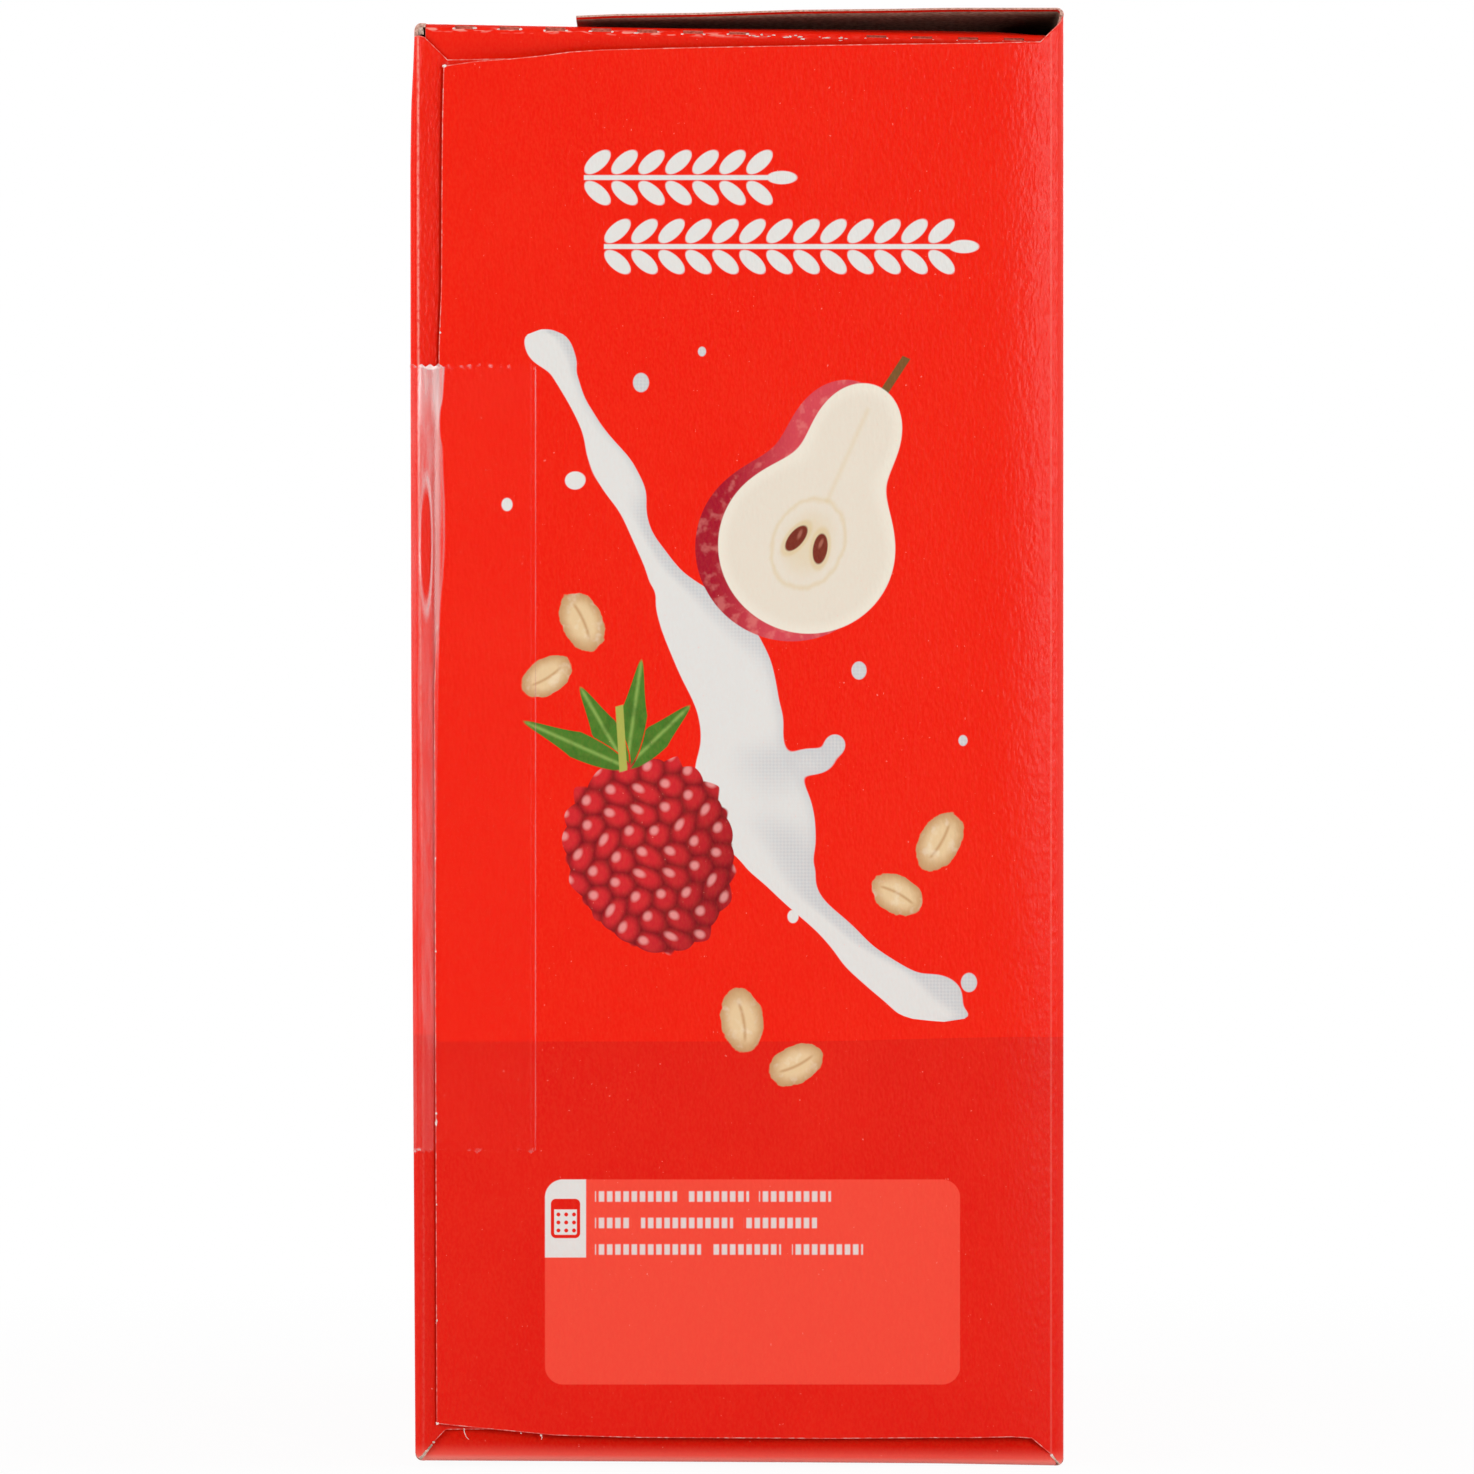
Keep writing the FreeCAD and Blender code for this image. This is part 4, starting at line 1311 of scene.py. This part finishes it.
@dataclass
class InnerFlap(EndFlap):
    """The inner flap, off the back panel. It sinks below the outer flap's free edge."""

    floor: float = 66.4

    def lie(self, flat: Vector) -> tuple[float, float, float]:
        """x, out and z on the back side."""
        out, height = self.bent(flat.x, flat.z)
        middle = self.bent(flat.x, 0.0)[0]
        if flat.x > self.radius * 2:
            out += max(middle, self.floor) - middle
        return self.carton.back - height, out, flat.y


@dataclass
class DustFlap(EndFlap):
    """A dust flap, off the inner top panel or the base, sloping in below the other flaps."""

    on_top: bool = True
    slots_from: float = -28.35
    slot_pitch: float = 4.59
    slot_length: float = 2.0
    slot_low: float = 0.44
    slot_high: float = 0.9
    slot_depth: float = 0.3
    slots_drift: float = 0.34
    slots_squeeze: float = 0.2
    slots_closed: tuple[int, ...] = (7, 8)
    slot_count: int = 13

    def spans(self) -> list[tuple[float, float]]:
        """Start and end of each open cut of the perforated fold."""
        starts = [self.slots_from + self.slot_pitch * index
                  for index in range(self.slot_count) if index not in self.slots_closed]
        return [(start, start + self.slot_length) for start in starts]

    def drift(self, x: float) -> float:
        """How far in from the perforation's line the top one folds."""
        return self.slots_drift * ease(x, -26.0, 24.0)

    def lie(self, flat: Vector) -> tuple[float, float, float]:
        """x, out and z at the top or the base. The cuts of the top one narrow to the right."""
        x = flat.y
        if not self.on_top:
            out, height = self.bent(flat.x, flat.z)
            return x, out, -height
        drift = self.drift(x) * ease(flat.x, self.first, 0.0)
        squeeze = self.slots_squeeze * ease(x, -20.0, 14.0) * ease(flat.x, self.slot_low, self.slot_high)
        out, height = self.bent(flat.x + drift - squeeze, flat.z)
        out -= drift
        swell = self.carton.swell(x, out) if flat.x < self.radius else 0.0
        return x, out, self.carton.inner_top(x) + height + swell

    def trim(self, sheet: BoardSheet) -> None:
        """Creases the lines that the perforation's cuts lie on."""
        if self.on_top:
            sheet.crease(1, [place for span in self.spans() for place in span])
            sheet.crease(0, (self.slot_low, self.slot_high))

    def press(self, sheet: BoardSheet) -> None:
        """Presses in the perforation."""
        if self.on_top:
            turned = Matrix.Rotation(-math.pi / 2, 4, "Z")
            bmesh.ops.transform(sheet.bm, matrix=turned, verts=sheet.bm.verts[:])
            sheet.bm.normal_update()
            sheet.slots(self.spans(), -self.slot_high, -self.slot_low, self.slot_depth)
            bmesh.ops.transform(sheet.bm, matrix=turned.inverted(), verts=sheet.bm.verts[:])


@dataclass
class ClearTape:
    """Clear tape from the outer flap over the gap at its edge and round the fold onto the back panel.

    It is drawn flat with one unit each for the flap, the bridge, the fold and the back panel.
    """

    carton: Carton
    flap: OuterFlap
    edge: float
    back_end: float
    foot: float
    head: float
    crest: float = 67.34
    thickness: float = 0.04
    lift: float = 0.02
    fold: float = 0.5
    tooth_pitch: float = 1.0
    tooth_depth: float = 0.35
    sag: float = 0.26

    @classmethod
    def from_frame(cls, carton: Carton, flap: OuterFlap, node: str) -> "ClearTape":
        """Reads the tape's reach off its CAD node's box."""
        low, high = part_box(node)
        return cls(carton, flap, high.x / MM, -high.y / MM, low.z / MM, high.z / MM)

    def flap_point(self, x: float, z: float, rise: float) -> tuple[float, float]:
        """x and distance out on the outer flap's face, before settling."""
        turn = math.radians(self.flap.angle)
        along = self.flap.radius * turn + self.carton.front - self.flap.radius * (1 - math.cos(turn)) - x
        placed = self.flap.place(Vector((along, z, rise)))
        return x, -placed.y

    def path(self, across: float, z: float) -> tuple[float, float, float, float]:
        """The film's line at a height: x, distance out, and which way is outward there."""
        c = self.carton
        edge_x = curve(self.flap.edge_places, z)
        leg, part = min(int(across), 3), across - min(int(across), 3)
        start_x, start_out = self.flap_point(edge_x, z, 0.0)
        crest_x = c.back + self.fold
        if leg == 0:
            x, out = self.flap_point(self.edge + (edge_x - self.edge) * part, z, 0.0)
            return x, out, 0.0, 1.0
        if leg == 1:
            dip = self.sag * (0.75 + 0.5 * noise.noise(Vector((0.0, 3.1, z * 0.06))))
            crimp = noise.noise(Vector((part * 2.2, 0.0, z * 0.11))) * 0.09
            wave = math.sin(math.pi * part)
            x = start_x + (crest_x - start_x) * part
            out = start_out + (self.crest - start_out) * part - wave * dip + wave * crimp
            return x, out, 0.0, 1.0
        if leg == 2:
            turn = part * math.pi / 2
            return (crest_x - self.fold * math.sin(turn), self.crest - self.fold * (1 - math.cos(turn)),
                    -math.sin(turn), math.cos(turn))
        out = self.crest - self.fold
        return c.back, out + (self.back_end - out) * part, -1.0, 0.0

    def width_at(self, across: float) -> float:
        """Distance across the tape in millimetres, for the teeth."""
        return curve(((0, 0.0), (1, 9.5), (2, 12.2), (3, 13.0), (4, 24.4)), across)

    def place(self, flat: Vector) -> Vector:
        """Puts a point of the flat tape (across, up, rise) in its place."""
        tooth = self.tooth_depth * abs((self.width_at(flat.x) / self.tooth_pitch) % 1.0 - 0.5) * 2
        z = flat.y
        z -= tooth * ease(z, self.head - 1.5, self.head)
        z += tooth * (1 - ease(z, self.foot, self.foot + 1.5))
        x, out, off_x, off_out = self.path(flat.x, z)
        rise = flat.z + self.thickness + self.lift
        return self.carton.settled(x + off_x * rise, out + off_out * rise, z, -1)

    def build(self, finishes: Sequence[bpy.types.Material]) -> bpy.types.Object:
        """Makes the piece."""
        sheet = BoardSheet((0.0, self.foot), (4.0, self.head), (1.0, 0.9))
        columns = [step / 19 for step in range(1, 19)] + [1 + step / 14 for step in range(1, 14)]
        columns += [2 + step / 6 for step in range(1, 6)] + [3 + step / 23 for step in range(1, 23)]
        sheet.crease(0, columns)
        sheet.thicken(self.thickness)
        for face in sheet.bm.faces:
            face.material_index = 0
        sheet.shape(self.place)
        return sheet.to_object("clear_tape_film", finishes)


@dataclass
class FibreTufts:
    """Torn fibres: pale nicks on one end's cut edges and folds, bits of bare corner, and a few hairs."""

    carton: Carton
    side: int
    flap: OuterFlap
    dust: DustFlap
    seed: int
    torn_at: tuple[int, ...] = (6, 7, 8)
    far_nicks: int = 9
    hair_radius: float = 0.045
    edge_nicks: tuple[tuple[float, float, float], ...] = (
        (140.05, 0.3, 0.22), (113.4, 0.12, 0.16), (101.8, 0.1, 0.15), (83.9, 0.17, 0.4), (60.8, 0.1, 0.14),
        (51.5, 0.1, 0.13), (34.4, 0.15, 0.42), (35.3, 0.14, 0.16), (26.2, 0.09, 0.12), (14.6, 0.11, 0.2),
        (3.9, 0.22, 0.2),
    )
    hairs: tuple[tuple[tuple[float, float, float], ...], ...] = (
        ((-27.35, 67.3, 3.4), (-27.3, 67.35, 2.95), (-27.1, 67.3, 2.5), (-26.85, 67.2, 2.25)),
        ((-19.65, 67.4, 2.8), (-19.5, 67.4, 2.5), (-19.55, 67.35, 2.3)),
        ((-29.95, 67.4, 14.9), (-30.2, 67.35, 14.4), (-30.45, 67.2, 14.3)),
    )

    def tuft(self, bm: bmesh.types.BMesh, rng: random.Random, spot: Sequence[float],
             size: Sequence[float]) -> None:
        """Adds one ragged tuft.

        Args:
            bm: the mesh to add to.
            rng: the seeded source of its raggedness.
            spot: x, distance out and z of its middle.
            size: its half sizes along x, out and z.
        """
        made = bmesh.ops.create_icosphere(bm, subdivisions=2, radius=1.0)
        shift = rng.uniform(0, 50)
        for vert in made["verts"]:
            ragged = 0.78 + 0.5 * noise.noise(vert.co * 1.7 + Vector((shift, 0.0, shift)))
            co = vert.co * ragged
            vert.co = self.carton.settled(spot[0] + co.x * size[0], spot[1] + co.y * size[1],
                                          spot[2] + co.z * size[2], self.side)

    def hair(self, bm: bmesh.types.BMesh, line: Sequence[tuple[float, float, float]]) -> None:
        """Adds one hair along a line of points in x, distance out and z."""
        points = [self.carton.settled(x, out, z, self.side) for x, out, z in line]
        ring = bmesh.ops.create_circle(bm, cap_ends=True, segments=5, radius=self.hair_radius)["verts"]
        facing = (points[1] - points[0]).to_track_quat("Z", "X").to_matrix().to_4x4()
        bmesh.ops.transform(bm, matrix=Matrix.Translation(points[0]) @ facing, verts=ring)
        face = next(face for face in ring[0].link_faces)
        for before, after in zip(points, points[1:]):
            made = bmesh.ops.extrude_face_region(bm, geom=[face])
            moved = [item for item in made["geom"] if isinstance(item, bmesh.types.BMVert)]
            if before is not points[0]:
                bmesh.ops.delete(bm, geom=[face], context="FACES")
            bmesh.ops.translate(bm, verts=moved, vec=after - before)
            face = next(item for item in made["geom"] if isinstance(item, bmesh.types.BMFace))

    def nicks(self, rng: random.Random) -> list[tuple[Sequence[float], Sequence[float]]]:
        """Places and half sizes of the nicks on the outer flap's cut edges."""
        if self.side < 0:
            face, spots = 67.44, self.edge_nicks
        else:
            face = 67.39
            spots = [(rng.uniform(6, 138), rng.uniform(0.09, 0.17), rng.uniform(0.12, 0.3))
                     for _ in range(self.far_nicks)]
        found = []
        for z, half_x, half_z in spots:
            found.append(((curve(self.flap.edge_places, z) + 0.1, face, z), (half_x, 0.1, half_z)))
        for x, height, half in ((-19.6, 2.72, 0.13), (-21.6, 2.92, 0.1), (31.55, 1.1, 0.24)):
            found.append(((x, face - (0.45 if x > 30 else 0.0), height), (half, 0.1, half)))
        return found

    def fold_fibres(self, rng: random.Random) -> list[tuple[Sequence[float], Sequence[float]]]:
        """Places and half sizes of the fibres about the perforated fold."""
        found = []
        c = self.carton
        for index in range(self.dust.slot_count):
            start = self.dust.slots_from + self.dust.slot_pitch * index
            size = 1 - 0.55 * ease(start, 2.0, 16.0)
            for x in (start - 0.1, start + self.dust.slot_length + 0.1):
                drift = self.dust.drift(x)
                below = rng.uniform(0.34, 0.52) + drift * 0.7
                spot = (x, self.dust.crest - 0.04 - drift, c.inner_top(x) - below)
                found.append((spot, (size * rng.uniform(0.14, 0.36), 0.1, size * rng.uniform(0.07, 0.15))))
            if index in self.torn_at:
                for _ in range(5):
                    x = start + rng.uniform(0.2, self.dust.slot_pitch - 0.4)
                    drift = self.dust.drift(x)
                    below = rng.uniform(0.35, 0.8) + drift * 0.6
                    spot = (x, self.dust.crest + 0.02 - drift, c.inner_top(x) - below)
                    found.append((spot, (rng.uniform(0.1, 0.4), 0.1, rng.uniform(0.05, 0.12))))
        return found

    def build(self, name: str, finishes: Sequence[bpy.types.Material]) -> bpy.types.Object:
        """Makes the piece: pale fibres in the first slot, bare grey corners in the second."""
        rng = random.Random(self.seed)
        bm = bmesh.new()
        for spot, size in self.nicks(rng) + self.fold_fibres(rng):
            self.tuft(bm, rng, spot, size)
        for line in self.hairs:
            self.hair(bm, line)
        bare_from = len(bm.faces)
        top = self.carton.back_height
        bare = [((-32.1, 66.74, top - 0.72), (0.4, 0.2, 0.72)), ((-30.72, 66.98, 1.92), (0.2, 0.12, 0.16))]
        for step in range(9):
            part = step / 8
            bare.append(((-30.95 - 1.15 * part, 67.1 + 0.22 * part, 1.62 - 1.28 * part),
                         (0.13 + 0.1 * part, 0.12, 0.15 + 0.1 * part)))
            bare.append(((31.6 + 0.68 * part, 67.02 - 0.22 * part, 0.92 - 0.7 * part), (0.13, 0.12, 0.16)))
        for spot, size in bare:
            self.tuft(bm, rng, spot, size)
        bm.faces.ensure_lookup_table()
        for face in bm.faces[bare_from:]:
            face.material_index = 1
        return to_object(bm, name, finishes)


# --------------------------------------------------------------------------------------------------- stage

@dataclass(frozen=True)
class Lamp:
    """A soft area lamp aimed at a point. Its level is what it adds on a face turned to it at that point."""

    name: str
    place: tuple[float, float, float]
    size: tuple[float, float]
    level: float

    def light(self, target: Vector) -> None:
        """Adds the lamp to the scene."""
        data = bpy.data.lights.new(self.name, "AREA")
        data.shape = "RECTANGLE"
        data.size, data.size_y = self.size
        away = Vector(self.place) - target
        data.energy = self.level * math.pi ** 2 * away.length_squared
        lamp = add_object(self.name, data)
        lamp.location = self.place
        lamp.rotation_euler = away.to_track_quat("Z", "Y").to_euler()


@dataclass
class Studio:
    """White surround, pale floor, soft lamps, and the camera square on to the near end."""

    carton: Carton
    ambient: float = 0.33
    distance: float = 0.9
    frame_share: float = 1.0103
    floor_size: float = 12.0
    floor_glow: float = 0.955
    glow_between: tuple[float, float] = (110.0, 260.0)
    floor_gap: float = 0.05
    lamps: tuple[Lamp, ...] = (
        Lamp("sheen_right", (0.30, -0.95, 0.22), (0.045, 0.32), 0.235),
        Lamp("key_left", (-0.80, -0.85, 0.26), (0.7, 0.7), 0.28),
        Lamp("overhead", (0.05, -0.15, 1.10), (0.9, 0.9), 0.2),
        Lamp("right_side", (1.05, 0.10, 0.45), (0.8, 0.8), 0.28),
        Lamp("left_side", (-1.05, 0.25, 0.45), (0.8, 0.8), 0.28),
        Lamp("rear", (0.25, 1.10, 0.45), (0.9, 0.8), 0.4),
    )

    def seen(self, graph: Graph) -> Socket:
        """1 for the rays that see or mirror the surround, 0 for those that only light by it."""
        path = graph.node("ShaderNodeLightPath")
        rays = [Socket(graph, path.outputs[name])
                for name in ("Is Camera Ray", "Is Glossy Ray", "Is Transmission Ray")]
        return graph.math("MAXIMUM", graph.math("MAXIMUM", rays[0], rays[1]), rays[2])

    def surround(self) -> None:
        """White behind the object, at a plainer level where it only gives light."""
        world = bpy.data.worlds.new("white_surround")
        world.use_nodes = True
        graph = Graph(world.node_tree)
        plain = graph.light("ShaderNodeBackground", 1.0, self.ambient)
        white = graph.light("ShaderNodeBackground", 1.0, 1.0)
        graph.end(graph.either(self.seen(graph), plain, white), "ShaderNodeOutputWorld")
        bpy.context.scene.world = world

    def floor(self) -> None:
        """A wide pale floor that keeps the pack's shadow."""
        bm = bmesh.new()
        bmesh.ops.create_grid(bm, x_segments=1, y_segments=1, size=self.floor_size / 2)
        bmesh.ops.translate(bm, verts=bm.verts[:], vec=(0.0, 0.0, -self.floor_gap * MM))
        mesh = bpy.data.meshes.new("floor")
        bm.to_mesh(mesh)
        bm.free()
        material, graph = new_material("pale_floor")
        x, y, _, _ = graph.millimetres()
        far = graph.step(graph.math("SQRT", x * x + y * y), *self.glow_between, (self.floor_glow, 1.0))
        paper = graph.light("ShaderNodeBsdfDiffuse", 0.9)
        glow = graph.light("ShaderNodeEmission", 1.0, 1.0)
        graph.end(graph.either(self.seen(graph) * far, paper, glow))
        mesh.materials.append(material)
        floor = add_object("floor", mesh)
        floor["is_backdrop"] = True

    def camera(self) -> None:
        """A long lens, level, on the middle of the near end."""
        height = self.carton.front_height * MM
        data = bpy.data.cameras.new("camera")
        data.lens = data.sensor_width * self.distance / (self.frame_share * height)
        camera = add_object("camera", data)
        camera.location = (0.0, -self.carton.end * MM - self.distance, height / 2)
        camera.rotation_euler = (math.pi / 2, 0.0, 0.0)
        bpy.context.scene.camera = camera

    def set_up(self) -> None:
        """Builds the whole stage."""
        bpy.context.scene.view_settings.view_transform = "Standard"
        self.camera()
        self.surround()
        self.floor()
        for lamp in self.lamps:
            lamp.light(Vector((0.0, 0.0, self.carton.front_height * MM / 2)))
        log.info("stage set: %d lamps", len(self.lamps))


# ---------------------------------------------------------------------------------------------------- main

def flaps_of(carton: Carton, side: int, end: str) -> tuple[OuterFlap, InnerFlap, DustFlap, DustFlap]:
    """The four flaps of one end."""
    outer = OuterFlap(
        carton, side, f"{end}_outer_flap", reach=62.4, radius=0.75, angle=84.5, crest=67.0,
        low_edge=((-2, 0.75), (0.25, 0.65), (0.5, 0.35), (0.8, 0.15), (1.3, 0.7), (1.6, 1.05), (3.65, 2.75),
                  (5.7, 2.85), (9.7, 2.7), (16.7, 2.6), (23.7, 2.5), (42.7, 2.5), (46.7, 2.6), (50.7, 2.7),
                  (53.7, 3.0), (56.7, 3.3), (59.7, 3.6), (62.7, 3.9)),
        high_edge=((-2, 145.15), (0.25, 145.1), (0.7, 144.6), (1.3, 144.0), (2.8, 142.55), (7.8, 142.4),
                   (16.7, 142.3), (22.7, 142.2), (28.7, 142.1), (34.7, 142.0), (39.2, 141.9), (46.7, 141.7),
                   (49.7, 141.5), (52.7, 141.1), (55.7, 140.8), (58.7, 140.6), (62.3, 140.1)),
        wear=0.15,
    )
    inner = InnerFlap(
        carton, side, f"{end}_inner_flap", reach=14.0, radius=0.6, angle=107.5, crest=67.33,
        low_edge=((-3, 0.75), (0.2, 0.7), (0.5, 0.4), (0.95, 0.2), (2.31, 1.83), (3.79, 3.15), (14, 3.3)),
        high_edge=((-3, 143.1), (1.0, 143.12), (1.46, 143.0), (4.09, 140.8), (14, 140.95)), ripple=0.0,
    )
    top = DustFlap(
        carton, side, f"{end}_top_dust_flap", reach=8.0, radius=0.7, angle=106.0, crest=66.8,
        low_edge=((-3, -31.75), (0.4, -31.6), (8, -31.4)), high_edge=((-3, 31.9), (0.4, 31.8), (8, 31.0)),
        wear=0.07, ripple=0.0,
    )
    base = DustFlap(
        carton, side, f"{end}_base_dust_flap", reach=8.0, radius=0.7, angle=116.0, crest=66.85,
        low_edge=((-3, -32.2), (2.2, -32.1), (8, -31.4)), high_edge=((-3, 32.0), (2.2, 31.9), (8, 31.4)),
        wear=0.07, ripple=0.0, on_top=False,
    )
    return outer, inner, top, base


def main() -> None:
    """Builds the pack and its stage in order, and reports each piece."""
    logging.basicConfig(level=logging.INFO, format="%(name)s: %(message)s")
    carton = Carton.from_frame("carton")
    Studio(carton).set_up()
    core = FibreBoard("board_cut_edge", tone(220, 178, 162), tone(172, 128, 112), 3.2).make()
    bare = FibreBoard("bare_board", tone(226, 204, 188), tone(170, 148, 134), 2.2).make()
    inside = FibreBoard("board_inside", tone(176, 160, 140), tone(132, 116, 98), 2.0).make()
    fibres = FibreBoard("torn_fibres", tone(246, 240, 234), tone(222, 196, 186), 2.6).make()
    slot = FibreBoard("board_in_cuts", tone(226, 128, 108), tone(190, 92, 78), 3.2).make()
    board = (PrintedBoard().make(), core, inside, WornEdge().make(), slot)

    pieces = [CartonTube(carton).build(board)]
    near_outer = None
    for side, end in ((-1, "near"), (1, "far")):
        flaps = flaps_of(carton, side, end)
        pieces += [flap.build(board) for flap in flaps]
        tufts = FibreTufts(carton, side, flaps[0], flaps[2], seed=11 + side)
        pieces.append(tufts.build(f"{end}_torn_fibres", (fibres, bare)))
        near_outer = near_outer or flaps[0]
    for piece in pieces:
        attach(piece, "root")
        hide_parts("carton")
        log.info("%s: %d faces", piece.name, len(piece.data.polygons))

    tape = ClearTape.from_frame(carton, near_outer, "clear_tape").build((ClearFilm().make(),))
    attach(tape, "root")
    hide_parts("clear_tape")
    log.info("%s: %d faces", tape.name, len(tape.data.polygons))

    boxes = {"cad": CAD_BOX, "visual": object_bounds()}
    {name: [list(corner) for corner in box] for name, box in boxes.items()}


if __name__ == "__main__":
    main()
